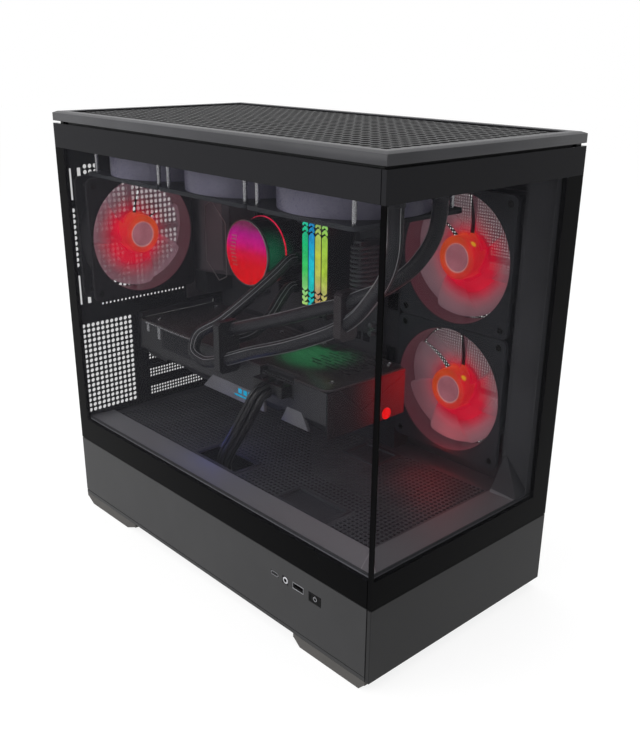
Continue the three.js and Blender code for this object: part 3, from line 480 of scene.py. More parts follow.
def thrown_light(material, place, reach, colour, strength):
    """Light that a lit part throws on a surface, as a soft glow round a point given in millimetres."""
    tree = material.node_tree
    where = add(tree, "TexCoord").outputs["Object"]
    gap = add(tree, "VectorMath", {0: where, 1: [part * MM for part in place]}, operation="DISTANCE")
    power = add(tree, "MapRange", {"Value": gap.outputs["Value"], "From Min": reach * MM, "From Max": 0.0,
                                   "To Max": strength}, interpolation_type="SMOOTHSTEP")
    surface = tree.nodes["surface"]
    surface.inputs["Emission Color"].default_value = linear(colour)
    tree.links.new(power.outputs[0], surface.inputs["Emission Strength"])
    material.cycles.emission_sampling = "NONE"


def dress(material, *names):
    """Gives solids of the frame their finish."""
    for name in names:
        nodes[name].data.materials.clear()
        nodes[name].data.materials.append(material)


INSIDE = {"Specular IOR Level": 0.2}
OUTSIDE = {"Specular IOR Level": 0.14}
chassis_coat = finish("powder_coated_steel_black", "#1b1c1e", **INSIDE)
# the shroud is the same black steel, painted a lighter grey: painted light on its top
lit_shroud_coat = finish("powder_coated_steel_shroud_painted_light", "#5e5e64", **INSIDE)
tray_coat = finish("powder_coated_steel_tray", "#38383c", **INSIDE)
# the two skirts share one coat: the side one is painted lighter and the front one darker, as painted light
# and shade
lit_side_coat = finish("powder_coated_steel_side_painted_light", "#353536", 0.42, drift=0.05, **OUTSIDE)
shaded_front_coat = finish("powder_coated_steel_front_painted_shade", "#222223", 0.42, drift=0.05, **OUTSIDE)
lid_coat = finish("powder_coated_steel_lid", "#333336", 0.4, **{"Specular IOR Level": 0.25})
lid_field_coat = finish("powder_coated_steel_lid_field", "#161618", **OUTSIDE)
liner_plastic = finish("moulded_plastic_grey", "#4a4a4e", 0.55, grain=0.8, **INSIDE)
# the ledge is painted paler below its edge: painted light
painted_ledge_light(liner_plastic, "#aaaab0", level=101, mitre=102, front_share=0.5)
black_plastic = finish("moulded_plastic_black", "#141416", grain=0.8, **INSIDE)
gloss_black = finish("polished_plastic_black", "#0c0c0e", 0.15, depth=0.002, **INSIDE)
foot_rubber = finish("moulded_rubber_brown_grey", "#4a4846", 0.8, grain=1.2, depth=0.04)
board_black = finish("solder_mask_black", "#505054", 0.4, depth=0.005, **INSIDE)
cover_paint = finish("painted_cover_grey", "#746c72", 0.45, **INSIDE)
clamp_grey = finish("moulded_clamp_grey", "#2c2c30", 0.42, grain=0.8)
# the front clamp is the same grey plastic as the rear one, tinted mauve: painted red light from the side
# fans
clamp_red_lit = finish("moulded_clamp_grey_painted_red_light", "#30262a", 0.42, grain=0.8)
dark_alloy = finish("anodised_aluminium_dark", "#3a3a3e", 0.38, metallic=0.6)
bright_steel = finish("nickel_plated_steel", "#c4c4c8", 0.25, metallic=1.0, depth=0.004)
hose_rubber = finish("sleeved_rubber_hose", "#19191b", 0.4)
cable_black = finish("cable_jacket_black", "#1a1a1b")

dress(chassis_coat, "bottom_pan", "rear_panel", "top_frame", "psu_shroud", "right_panel", "psu_case",
      "slot_covers")
dress(tray_coat, "motherboard_tray")
dress(lit_side_coat, "side_skirt")
dress(shaded_front_coat, "front_skirt")
dress(lid_coat, "top_panel")
dress(liner_plastic, "window_liner")
dress(foot_rubber, "foot_front_left", "foot_front_right", "foot_rear_left", "foot_rear_right")
dress(black_plastic, "dust_filter", "mains_inlet", "psu_rotor", "pump_block", "card_shroud", "card_rotor_1",
      "card_rotor_2", "card_rotor_3")
dress(gloss_black, "power_button", "psu_rocker")
dress(clamp_grey, "tube_clamp_rear")
dress(clamp_red_lit, "tube_clamp_front")
dress(bright_steel, "usb_c_socket", "usb_a_socket", "audio_socket", "card_bracket")
dress(board_black, "motherboard")
dress(cover_paint, "io_cover")
dress(dark_alloy, "chipset_heatsink", "card_backplate", "radiator")
dress(hose_rubber, "tube_1", "tube_2")
dress(cable_black, "card_power_cable", "board_power_cable")
for each in ("radiator_fan_1", "radiator_fan_2", "radiator_fan_3", "rear_fan", "side_fan_1", "side_fan_2"):
    dress(black_plastic, each + "_frame")
print(len(bpy.data.materials), "finishes")


# %% [markdown]
# ## Tinted glass
# The two panes are 4 mm tempered glass with a grey tint. A black enamel border is printed on them and
# fired in, so that the metal behind the edges is hidden. The tint is made with alpha on a dark, very
# smooth surface: lamp light gets through it, which a refracting pane would stop, and both faces of the
# pane take their share. The border is a mask on the object's own coordinates, where the enamel starts.

# %% Panes
GLASS_ALPHA = 0.26
CLEAR_UP = (100.2, 374.4)


def pane(name, across, clear_across):
    """Glass that is clear between limits along one axis and up the pane, and enamelled outside them."""
    made, tree = empty_material(name)
    whole = add(tree, "TexCoord").outputs["Object"]
    where = add(tree, "SeparateXYZ", {0: whole}).outputs
    inside = None
    for output, (low, high) in ((across, clear_across), ("Z", CLEAR_UP)):
        for bound, test in ((low, "GREATER_THAN"), (high, "LESS_THAN")):
            is_in = maths(tree, test, where[output], bound * MM)
            inside = is_in if inside is None else maths(tree, "MULTIPLY", inside, is_in)
    haze = add(tree, "TexNoise", {"Vector": whole, "Scale": 9.0})
    above = maths(tree, "GREATER_THAN", where["Z"], CLEAR_UP[1] * MM)
    # the top band of the border is painted a lighter grey than the rest: a painted reflection
    enamel = blend(tree, above, linear("#060607"), linear("#262628"))
    shader = add(tree, "BsdfPrincipled", {
        "Base Color": blend(tree, inside, enamel, linear("#27272b")),
        "Roughness": ranged(tree, haze, 0, 1, 0.03, 0.07), "IOR": 1.5, "Specular IOR Level": 0.02,
        "Alpha": ranged(tree, inside, 0, 1, 1.0, GLASS_ALPHA)})
    add(tree, "OutputMaterial", {"Surface": shader})
    made.surface_render_method = "BLENDED"
    return made


dress(pane("tinted_glass_side", "Y", (-211, 198)), "side_glass")
dress(pane("tinted_glass_front", "X", (-110, 90)), "front_glass")
print("panes done")

# %% [markdown]
# ## The lid
# The lid is one steel pressing: a flat rim with a folded edge, a narrow slope all round, and a punched
# field that lets the radiator breathe out. A cuboid is enough to start with. Its top face is inset and
# raised for the slope, inset again for the rim, and opened. A Solidify modifier turns what is left into
# sheet steel, and a punched field goes in just below the rim.

# %% Lid
lid_x, lid_y, lid_z = limits("top_panel")
SLOPE_IN, SLOPE_UP, RIM, LID_SHEET = 3.7, 1.4, 7.3, 1.2
LID_FOOT, FIELD_LEVEL, LID_PITCH = 398.4, 405.2, 9.3
STUD_X, STUD_Y = 98, 198
lid = block("lid", lid_x, lid_y, (LID_FOOT, lid_z[1] - SLOPE_UP))
pick(lid, facing("z"))
bpy.ops.mesh.inset(thickness=SLOPE_IN * MM, depth=SLOPE_UP * MM)
bpy.ops.mesh.inset(thickness=RIM * MM)
bpy.ops.mesh.delete(type="FACE")
object_mode()
work(lid, facing("-z"), bpy.ops.mesh.delete, type="FACE")
modify(lid, "SOLIDIFY", thickness=LID_SHEET * MM, offset=-1)
bevel(lid, 0.35, angle=20)
inner = [(axis[0] + SLOPE_IN + RIM - LID_SHEET, axis[1] - SLOPE_IN - RIM + LID_SHEET)
         for axis in (lid_x, lid_y)]
counts = [int((axis[1] - axis[0]) / LID_PITCH) for axis in inner]
field = hole_field("z", FIELD_LEVEL, *inner, counts, hole=6.4, thick=0.8)
studs = [rod("stud", "z", 3, 402.3, 404.8, (x, y), 12)
         for x in (-STUD_X, STUD_X) for y in (-STUD_Y, STUD_Y)]
piece(join(lid, *studs), "punched_lid", lid_coat, "top_panel", ["top_panel"])
piece(field, "punched_lid_field", lid_field_coat, "top_panel")


# %% [markdown]
# ## The shroud over the power supply
# The shroud is folded steel. Its top is punched all over and has three rimmed openings for cables. The
# walls and the plain border are blocks, the openings are cut out of the field, and each rim is a shallow
# frame whose edges are rounded. Soft flaps close two of the openings.

# %% Shroud
shroud_x, shroud_y, shroud_z = limits("psu_shroud")
TOP = shroud_z[1]
BELOW_TOP = (shroud_z[0], TOP - 1)
FIELD, SHROUD_PITCH = ((-73, 76), (-173, 199)), 4.8
openings = [((-70, -42), (4, 64)), ((-70, -44), (-118, -58)), ((40, 70), (-70, -30))]
plate = block("plate", shroud_x, shroud_y, (TOP - 1, TOP))
carve(plate, block("hole", *FIELD, (TOP - 3, TOP + 3)))
walls = [
    block("wall", (shroud_x[0], shroud_x[0] + 1), shroud_y, BELOW_TOP),
    block("wall", (shroud_x[1] - 1, shroud_x[1]), shroud_y, BELOW_TOP),
    block("wall", grown(shroud_x, -1), (shroud_y[0], shroud_y[0] + 1), BELOW_TOP),
]
carve(walls[0], block("notch", (shroud_x[0] - 1, shroud_x[0] + 2), (-142, -92), (46, 68)))


def clear_of_openings(x, y, margin=5):
    """Whether a hole lies away from the openings."""
    return not any(ox[0] - margin < x < ox[1] + margin and oy[0] - margin < y < oy[1] + margin
                   for ox, oy in openings)


counts = [round((side[1] - side[0]) / SHROUD_PITCH) for side in FIELD]
field = hole_field("z", TOP - 0.5, *FIELD, counts, hole=3.5, thick=1.0, keep=clear_of_openings)
rims, flaps = [], []
for ox, oy in openings:
    carve(field, block("hole", ox, oy, (TOP - 3, TOP + 3)))
    rim = block("rim", grown(ox, 3), grown(oy, 3), (TOP - 1.6, TOP + 1.2))
    carve(rim, block("hole", grown(ox, -1), grown(oy, -1), (TOP - 5, TOP + 5)))
    rims.append(bevel(rim, 0.9))
for ox, oy in openings[1:]:
    flap = block("flap", grown(ox, 0.5), grown(oy, 0.5), (TOP - 2.2, TOP - 1.4))
    flaps.append(bevel(inset(flap, facing("z"), (5, -0.3)), 0.2, 1))
rim_plastic = finish("moulded_rim_plastic", "#4e4e54", **INSIDE)
flap_rubber = finish("soft_rubber_flap", "#4a4a50", 0.6, grain=1.2, **INSIDE)
piece(join(plate, field, *walls), "punched_shroud", lit_shroud_coat, replaces=["psu_shroud"])
piece(join(*rims), "cable_rims", rim_plastic)
piece(join(*flaps), "cable_flaps", flap_rubber)


# %% [markdown]
# ## The rear panel
# Behind the rear fan the panel has a round grille. There are also punched columns and slots near the
# glass, a punched block beside the slots of the expansion cards, and the openings for the board's
# sockets, the cards and the power supply. The plate is cut with blocks, and each punched field is made to
# fill its cut exactly.

# %% Rear panel
panel_x, panel_y, panel_z = limits("rear_panel")
PANEL_Y = (panel_y[1] - 1, panel_y[1])
HOLE_PITCH, HOLE, SLOT_PITCH = 5.4, 4.1, 20.32
fan_x, fan_z = (sum(limits("rear_fan_frame")[i]) / 2 for i in (0, 2))
half = 10.5 * HOLE_PITCH
fields = [
    ((fan_x - half, fan_x + half), (fan_z - half, fan_z + half), (21, 21), HOLE,
     lambda x, z: math.hypot(x - fan_x, z - fan_z) < 57),
    ((-103.9, -44.5), (102.0, 199.2), (11, 18), HOLE, None),
    ((-104.2, -98.8), (257.3, 316.7), (1, 11), HOLE, None),
    ((-88.1, -71.9), (346.6, 357.4), (3, 2), HOLE, None),
    ((-79.5, 24.0), (214.2, 218.7), (23, 1), 2.4, None),
]
cuts = [((26, 74), (204.5, 363)), ((-61, 81), (12.5, 90.5))]
cuts += [((-34, 62), (190.3 - SLOT_PITCH * i - 6.5, 190.3 - SLOT_PITCH * i + 6.5)) for i in range(5)]
cuts += [((-103, -100), (324, 354)), ((-94, -90), (344, 354)), ((-103, -100), (219.5, 249.5)),
         ((-94, -90), (219.5, 226.5))]
plate = block("plate", panel_x, PANEL_Y, panel_z)
carve(plate, *(block("cut", x, grown(PANEL_Y, 3), z) for x, z in cuts + [field[:2] for field in fields]))
sheets = [hole_field("y", sum(PANEL_Y) / 2, x, z, counts, hole, 1.0, keep)
          for x, z, counts, hole, keep in fields]
hem = block("hem", (panel_x[0], panel_x[0] + 1), (204.4, PANEL_Y[0]), (100.8, panel_z[1]))
piece(join(plate, hem, *sheets), "punched_rear_panel", chassis_coat,
      replaces=["rear_panel"])


# %% [markdown]
# ## The right panel and the slot covers
# The steel side panel has a finely punched field where the two side fans draw air. The covers of the
# unused card slots have three rows of holes each. Both are plates with a field let into them.

# %% Right panel, slot covers
side_x, side_y, side_z = limits("right_panel")
VENT = ((-181, -61), (117, 357))
fold_x = (side_x[0], side_x[1] - 1)
sheet = block("sheet", (side_x[1] - 1, side_x[1]), side_y, side_z)
carve(sheet, block("hole", (side_x[1] - 4, side_x[1] + 3), *VENT))
vent = hole_field("x", side_x[1] - 0.5, *VENT, (46, 92), hole=1.4, thick=0.4, cut=0)
folds = [
    block("fold", fold_x, side_y, (side_z[1] - 1, side_z[1])),
    block("fold", fold_x, side_y, (side_z[0], side_z[0] + 1)),
    block("fold", fold_x, (side_y[1] - 1, side_y[1]), grown(side_z, -1)),
]
piece(join(sheet, vent, *folds), "punched_side_panel", chassis_coat, "right_panel",
      ["right_panel"])

cover_x, cover_y, cover_z = limits("slot_covers")
covers = [block("spine", (cover_x[0], cover_x[0] + 10.5), cover_y, cover_z)]
for index in range(3):
    low = cover_z[0] + index * SLOT_PITCH
    blank = block("cover", (cover_x[0] + 10, cover_x[1]), cover_y, (low, low + 18.4))
    hole_x, hole_z = (cover_x[0] + 18, cover_x[0] + 88), (low + 3.9, low + 14.4)
    carve(blank, block("hole", hole_x, grown(cover_y, 2), hole_z))
    covers += [blank, hole_field("y", sum(cover_y) / 2, hole_x, hole_z, (20, 3), hole=2.5, thick=1.0)]
piece(join(*covers), "punched_slot_covers", chassis_coat, replaces=["slot_covers"])


# %% [markdown]
# ## Lips of the window liner
# The moulded liner ends in a thin lip just behind the printed border of each pane, so that no dark slit
# shows beside the border. Each lip is a narrow bar with softened edges.

# %% Liner lips
liner_x, liner_y = limits("window_liner")[:2]
LIP_Z = (96.5, 103.5)
front_lip_y = (liner_y[0], liner_y[0] + 0.8)
lips = [
    block("lip", (liner_x[0], liner_x[0] + 0.8), (-207, 204), LIP_Z),
    block("lip", (-106, 92), front_lip_y, LIP_Z),
    block("lip", (84, liner_x[1]), front_lip_y, (LIP_Z[0], 384)),
]
piece(join(*(bevel(lip, 0.25, 1) for lip in lips)), "liner_lips", liner_plastic)


# %% [markdown]
# ## Skirts
# The two skirts are folded from 2.5 mm plate with soft edges. The side one has a fine groove along its
# foot, and windows that clear each socket and the button. Both keep the lip and the clips that hold them.

# %% Skirts
WALL, CLIP_Z = 2.5, (12, 18)


def skirt_piece(skirt, parts, side, material):
    """Joins a skirt to its lip and clips."""
    whole = join(skirt, *(bevel(part, 0.2, 1) for part in parts))
    name = side + "_skirt"
    piece(whole, name + "_panel", material, replaces=[name], smooth=10)


(sk_x, sk_y, sk_z) = limits("side_skirt")
skirt = block("skirt", (sk_x[0], sk_x[0] + WALL), sk_y, sk_z)
for node in ("usb_c_socket", "usb_a_socket", "audio_socket", "power_button"):
    y, z = limits(node)[1:]
    carve(skirt, block("window", (sk_x[0] - 2, sk_x[0] + 4), grown(y, 0.2), grown(z, 0.2)))
carve(skirt, block("groove", (sk_x[0] - 1, sk_x[0] + 0.7), grown(sk_y, 1), (13.4, 14.2)))
parts = [block("lip", (sk_x[0] + 1, sk_x[1]), (sk_y[0], 207), (sk_z[1] - 2, sk_z[1] - 0.05))]
parts += [block("clip", (sk_x[0] + 1, -107.3), (y - 8, y + 8), CLIP_Z) for y in (-190, 10, 190)]
skirt_piece(bevel(skirt, 0.35), parts, "side", lit_side_coat)

(fs_x, fs_y, fs_z) = limits("front_skirt")
skirt = bevel(block("skirt", fs_x, (fs_y[0], fs_y[0] + WALL), fs_z), 0.35)
behind = (fs_y[0] + 1, fs_y[1])
parts = [block("lip", (-104, 104), behind, (fs_z[1] - 2, fs_z[1] - 0.05))]
parts += [block("return", x, (fs_y[0] + 1, -209.2), grown(fs_z, -0.1))
          for x in ((fs_x[0] + 0.05, fs_x[0] + WALL), (fs_x[1] - WALL, fs_x[1] - 0.05))]
parts += [block("clip", (x - 8, x + 8), behind, CLIP_Z) for x in (-80, 0, 80)]
skirt_piece(skirt, parts, "front", shaded_front_coat)

# %% [markdown]
# ## Lit fans
# A 120 mm fan has a square frame with two flanges, a round duct between them, four struts that hold the
# motor, and a rotor of frosted polycarbonate that is lit from inside its hub. The frame is a cuboid with
# rounded corners; a waist is cut out between the flanges, then the bore and the screw holes. One frame
# and one rotor are made at the origin, and copies are turned to their six places.

# %% One fan frame
FAN, FAN_DEPTH, FLANGE = 119.7, 25, 3.5  # width, depth and the thickness of a flange
BORE, DUCT, SCREW_HOLE = 57, 59.2, 2.4  # radii
SCREW = 52.5  # how far the screws lie from the axis, both ways
HUB, TIP = 19, 55  # radii of the rotor
CORNERS = [(x, y) for x in (-SCREW, SCREW) for y in (-SCREW, SCREW)]


def spun(shape, count):
    """Copies of a shape, turned evenly about z. The shape itself goes."""
    made = [copy(shape, turn=Matrix.Rotation(2 * math.pi * i / count, 4, "Z")) for i in range(count)]
    remove(shape)
    return made


edges = (-FAN / 2, FAN / 2)
fan_frame = round_corners(block("fan_frame", edges, edges, (0, FAN_DEPTH)), "z", 6, 4)
waist = block("waist", (-70, 70), (-70, 70), (FLANGE, FAN_DEPTH - FLANGE))
carve(waist, rod("duct", "z", DUCT, 0, FAN_DEPTH, (0, 0), 72))
carve(fan_frame, waist, rod("bore", "z", BORE, -1, FAN_DEPTH + 1, (0, 0), 72))
for corner in CORNERS:
    carve(fan_frame, rod("hole", "z", SCREW_HOLE, -1, FAN_DEPTH + 1, corner, 16))
bevel(fan_frame, 0.4, 1, angle=60)
struts = spun(bevel(block("strut", (HUB - 2, BORE + 1.5), (-2, 2), (FAN_DEPTH - 3, FAN_DEPTH)), 0.6), 4)
motor = bevel(rod("motor", "z", HUB + 0.8, FAN_DEPTH - 3, FAN_DEPTH, (0, 0), 40), 0.6)
join(fan_frame, motor, *struts)
print("fan frame", len(fan_frame.data.polygons), "faces")


# %% [markdown]
# The rotor: its hub is a round bar with a rounded rim and a shallow face with a ring pressed into it. A
# blade starts as one edge from hub to tip, swept forward. It is extruded, turned about the axis and let
# down, seven times over, which gives a twisted surface. Solidify and one round of subdivision finish it.
# Each point remembers where it is in the fan's own frame, so that one material can light all six fans
# from their hubs.

# %% One rotor
BLADES, BLADE_THICK = 7, 1.3
STEPS, SWING, SWEEP = 7, 58, 15  # steps along a blade, its turn in degrees, its sweep at the tip
FAN_ROTOR = (HUB, TIP, 2, 21.6, BLADES, 7.5)  # radii, front and back, blades, and how proud the hub stands


def fan_blade(root, tip, top, drop):
    """A swept, twisted blade between two radii, from a height downwards."""
    bpy.ops.object.select_all(action="DESELECT")
    bpy.ops.mesh.primitive_plane_add(size=1, location=(0, 0, top * MM))
    blade = bpy.context.object
    blade.scale = ((tip - root) * MM, MM, 1)
    blade.location.x = (root + tip) / 2 * MM
    settle(blade, "blade")
    work(blade, lambda c, n: c.y < 0, bpy.ops.mesh.delete, "VERT", type="VERT")
    work(blade, lambda c, d: True, bpy.ops.mesh.subdivide, "EDGE", number_cuts=4)
    for point in range(1, 6):
        radius = root + (tip - root) * point / 5
        share = (radius - root) / (tip - root)
        work(blade, lambda c, n: abs(c.x - radius) < 0.5, bpy.ops.transform.translate, "VERT",
             value=(-share ** 2 * 3 * MM, share ** 1.6 * SWEEP * MM, 0))
    pick(blade, lambda c, d: True, "EDGE")
    for step in range(STEPS):
        bpy.ops.mesh.extrude_edges_indiv()
        bpy.ops.transform.rotate(value=math.radians(SWING / STEPS), orient_axis="Z",
                                 center_override=(0, 0, 0))
        bpy.ops.transform.translate(value=(0, 0, drop / STEPS * MM))
    object_mode()
    work(blade, lambda c, n: True, bpy.ops.mesh.normals_make_consistent)
    modify(blade, "SOLIDIFY", thickness=BLADE_THICK * MM, offset=0)
    return modify(blade, "SUBSURF", levels=1, render_levels=1)


def fan_rotor(hub, tip, front, back, blades, proud=1.4, mirrored=False):
    """A rotor about z, whose hub runs from front to back and stands proud of the blades in front."""
    wheel = rod("rotor", "z", hub, front, back, (0, 0), 48)
    work(wheel, facing("-z"), bpy.ops.mesh.bevel, offset=1.6 * MM, segments=3, affect="EDGES")
    inset(wheel, lambda c, n: n.z < -0.99, (hub * 0.24, -0.3), (hub * 0.05, -0.5), (hub * 0.05, 0.4))
    join(wheel, *spun(fan_blade(hub - 1, tip, back - 1.6, front + 1.6 + proud - back + 1.6), blades))
    if mirrored:
        wheel.scale.y = -1
        settle(wheel, "rotor")
        work(wheel, lambda c, n: True, bpy.ops.mesh.normals_make_consistent)
    place = wheel.data.attributes.new("fan_place", "FLOAT_VECTOR", "POINT")
    place.data.foreach_set("vector", [part for vertex in wheel.data.vertices for part in vertex.co / MM])
    return wheel


rotor = fan_rotor(*FAN_ROTOR)
print("rotor", len(rotor.data.polygons), "faces, reach",
      round(max(v.co.xy.length for v in rotor.data.vertices) / MM, 2))


# %% [markdown]
# The frosted plastic lets some light through, so it is partly clear, and it glows. The glow is a ramp
# over the distance from the axis: a pinkish cap with a paler ring round it, an orange rim, a deep red
# wall, and blades that fade from red to a pale mauve. A noise makes the blades uneven, as light in real
# ones is.

# %% Frosted, lit polycarbonate
SPILL = 7.5  # how far the red light on the blades lies to one side of the hub
GLOW_REACH = 60


def uneven(tree, where, scale, low, high):
    """A noise between two levels."""
    cloud = add(tree, "TexNoise", {"Vector": where, "Scale": scale, "Detail": 2.0})
    return ranged(tree, cloud, 0.3, 0.7, low, high)


def frosted(name, strength, stops, warm=(0, 0, 0), thin=(0, 0, 0), spot=None, veil=(0.9, 0.55)):
    """Lit plastic; stops give the glow at distances from the fan's axis, in millimetres. The hub is more
    orange towards warm, the blades are clearer towards thin by the two shares of veil, and a spot, given by
    its place, is yellow."""
    made, tree = empty_material(name)
    place = add(tree, "Attribute", attribute_name="fan_place").outputs["Vector"]
    flat = add(tree, "VectorMath", {0: place, 1: (1, 1, 0)}, operation="MULTIPLY")

    def measure(operation, start, end=(0, 0, 0)):
        return add(tree, "VectorMath", {0: start, 1: end}, operation=operation).outputs["Value"]

    radius = measure("LENGTH", flat)
    spill = maths(tree, "SUBTRACT", measure("DISTANCE", flat, Vector(warm) * -SPILL), 4.2)
    spill = maths(tree, "MAXIMUM", spill, HUB + 0.7)
    on_blade = maths(tree, "GREATER_THAN", radius, HUB + 0.4)
    reach = add(tree, "Mix", {0: on_blade, 2: radius, 3: spill}, data_type="FLOAT")
    ramp = add(tree, "ValToRGB", {"Fac": ranged(tree, reach, 0, GLOW_REACH)},
               stops=[(distance / GLOW_REACH, linear(colour)) for distance, colour in stops])
    power = maths(tree, "MULTIPLY", uneven(tree, place, 0.06, 0.78, 1.08), strength)
    along = measure("DOT_PRODUCT", place, Vector(thin) / TIP)
    solid = ranged(tree, radius, HUB + 1.0, HUB + 3.0, 1.0, ranged(tree, along, -0.1, 0.6, *veil))
    grain = add(tree, "TexNoise", {"Vector": place, "Scale": 1.4})
    relief = add(tree, "Bump", {"Height": grain, "Strength": 0.3, "Distance": 0.01 * MM})
    near_hub = ranged(tree, radius, HUB + 4, HUB - 2)
    off_cap = ranged(tree, radius, HUB * 0.6, HUB * 0.7)
    side = ranged(tree, measure("DOT_PRODUCT", place, Vector(warm) / HUB), -0.3, 0.6)
    share = maths(tree, "MULTIPLY", maths(tree, "MULTIPLY", near_hub, off_cap), side)
    glow = blend(tree, share, ramp.outputs["Color"], linear("#e05020"))
    if spot:
        glow = blend(tree, ranged(tree, measure("DISTANCE", place, spot), 3.4, 1.8), glow, linear("#ffb428"))
    lit = ranged(tree, reach, HUB + 2, HUB + 12)
    shader = add(tree, "BsdfPrincipled", {
        "Base Color": blend(tree, lit, linear("#40141a"), linear("#9a8c92")), "Roughness": 0.42,
        "Specular IOR Level": 0.12, "Alpha": solid, "Emission Color": glow, "Emission Strength": power,
        "Normal": relief})
    add(tree, "OutputMaterial", {"Surface": shader})
    made.cycles.emission_sampling = "NONE"
    return made


GLOW = [(0, "#b06c78"), (11.6, "#b06c78"), (12.2, "#dc9a98"), (13.6, "#ec4432"), (18.6, "#f02c2c"),
        (19.6, "#f00434"), (24, "#cc143a"), (30, "#a03444"), (37, "#7c4852"), (45, "#68464f"),
        (56, "#5c4048")]
lit_blades = frosted("frosted_polycarbonate_lit_rear", 1.1, GLOW[:-2] + [(45, "#80606a"), (56, "#80606a")],
                     warm=(0.58, 0.44, 0), thin=(0.7, 0.7, 0), veil=(0.74, 0.3))
side_blades = frosted("frosted_polycarbonate_lit_side", 1.0, GLOW, warm=(0.8, 0.6, 0), thin=(-0.5, 0.85, 0),
                      spot=(-13.5, 13.5, 7), veil=(0.9, 0.34))
# the radiator fans have no lights of their own; their blades get a faint painted glow
faint_glow_blades = frosted("frosted_polycarbonate_painted_faint_glow", 0.05, [(0, "#a09098"), (60, "#a09098")])
fan_black = finish("glass_filled_nylon_black", "#2e2c30", 0.48, grain=0.9, **INSIDE)
side_black = finish("glass_filled_nylon_side", "#3b3d42", 0.45, grain=0.9, **INSIDE)

# %% Fans in their places
TURNS = {
    "x": Matrix(((0, 0, 1, 0), (1, 0, 0, 0), (0, 1, 0, 0), (0, 0, 0, 1))),
    "y": Matrix(((0, 1, 0, 0), (0, 0, 1, 0), (1, 0, 0, 0), (0, 0, 0, 1))),
    "z": Matrix.Identity(4),
}
fans = [(f"radiator_fan_{number}", "z", faint_glow_blades) for number in (1, 2, 3)]
fans += [("rear_fan", "y", lit_blades), ("side_fan_1", "x", side_blades), ("side_fan_2", "x", side_blades)]
# the two side fans turn the other way, so their rotor is mirrored
reverse_rotor = fan_rotor(*FAN_ROTOR, mirrored=True)
fan_places = {}
for name, axis, blades in fans:
    box = limits(name + "_frame")
    place = [sum(pair) / 2 for pair in box]
    place["xyz".index(axis)] = box["xyz".index(axis)][0]
    fan_places[name] = Vector(place)
    piece(copy(fan_frame, place, TURNS[axis]), name + "_shell", fan_black if axis == "y" else side_black,
          replaces=[name + "_frame"])
    wheel = reverse_rotor if axis == "x" else rotor
    piece(copy(wheel, place, TURNS[axis]), name + "_blades", blades, name + "_rotor",
          [name + "_rotor"])

# %% [markdown]
# The inside of each lit duct catches the light of the blades, so it gets a thin sleeve that glows
# faintly.

# %% Lit ducts
duct_glow = finish("satin_nylon_lit_duct", "#3c3034", grain=0.9,
                   **{"Emission Color": linear("#582c36"), "Emission Strength": 0.8})
duct_glow.cycles.emission_sampling = "NONE"
sleeve = rod("sleeve", "z", BORE - 0.02, 0.6, FAN_DEPTH - 0.6, (0, 0), 72)
carve(sleeve, rod("inside", "z", BORE - 0.4, 0, FAN_DEPTH, (0, 0), 72))
sleeves = [copy(sleeve, fan_places[name], TURNS[axis]) for name, axis, _ in fans if axis != "z"]
piece(join(*sleeves), "lit_ducts", duct_glow)
remove(fan_frame, rotor, reverse_rotor, sleeve)


# %% [markdown]
# ## Memory modules
# Each module is a circuit board between two heat spreaders, with a light bar of clear acrylic along its
# edge. The bar has V-shaped cuts near both ends, so that its ends look like arrow feathers. One module is
# shaped from cuboids and copied four times; each copy gets a bar with its own colours, from top to
# bottom.

# %% Lit acrylic
def lit_acrylic(name, low, high, stops, strength=1.0, axis="Z", base="#202024"):
    """Acrylic that glows with colours which change along an axis; stops run from 0 at low to 1 at high."""
    made, tree = empty_material(name)
    where = add(tree, "TexCoord").outputs["Object"]
    along = add(tree, "SeparateXYZ", {0: where}).outputs[axis]
    ramp = add(tree, "ValToRGB", {"Fac": ranged(tree, along, low * MM, high * MM)},
               stops=[(position, linear(colour)) for position, colour in stops])
    power = maths(tree, "MULTIPLY", uneven(tree, where, 160.0, 0.8, 1.2), strength)
    shader = add(tree, "BsdfPrincipled", {"Base Color": linear(base), "Roughness": 0.2,
                                          "Specular IOR Level": 0.05, "Emission Color": ramp,
                                          "Emission Strength": power})
    add(tree, "OutputMaterial", {"Surface": shader})
    made.cycles.emission_sampling = "NONE"
    return made


BAR_COLOURS = [
    ("green", [(0, "#b4e078"), (0.15, "#98dc84"), (0.4, "#40d868"), (0.7, "#08c87c"), (1, "#28c8a8")]),
    ("cyan", [(0, "#18ccd0"), (0.2, "#0cc4bc"), (0.5, "#08c8e0"), (0.8, "#1098d8"), (1, "#1c88c0")]),
    ("amber", [(0, "#d8a850"), (0.15, "#c89c78"), (0.35, "#c4c85c"), (0.6, "#ccd848"), (1, "#98c070")]),
    ("lime", [(0, "#e0d850"), (0.15, "#c8c070"), (0.4, "#b0d038"), (0.8, "#a0d048"), (1, "#90d878")]),
]

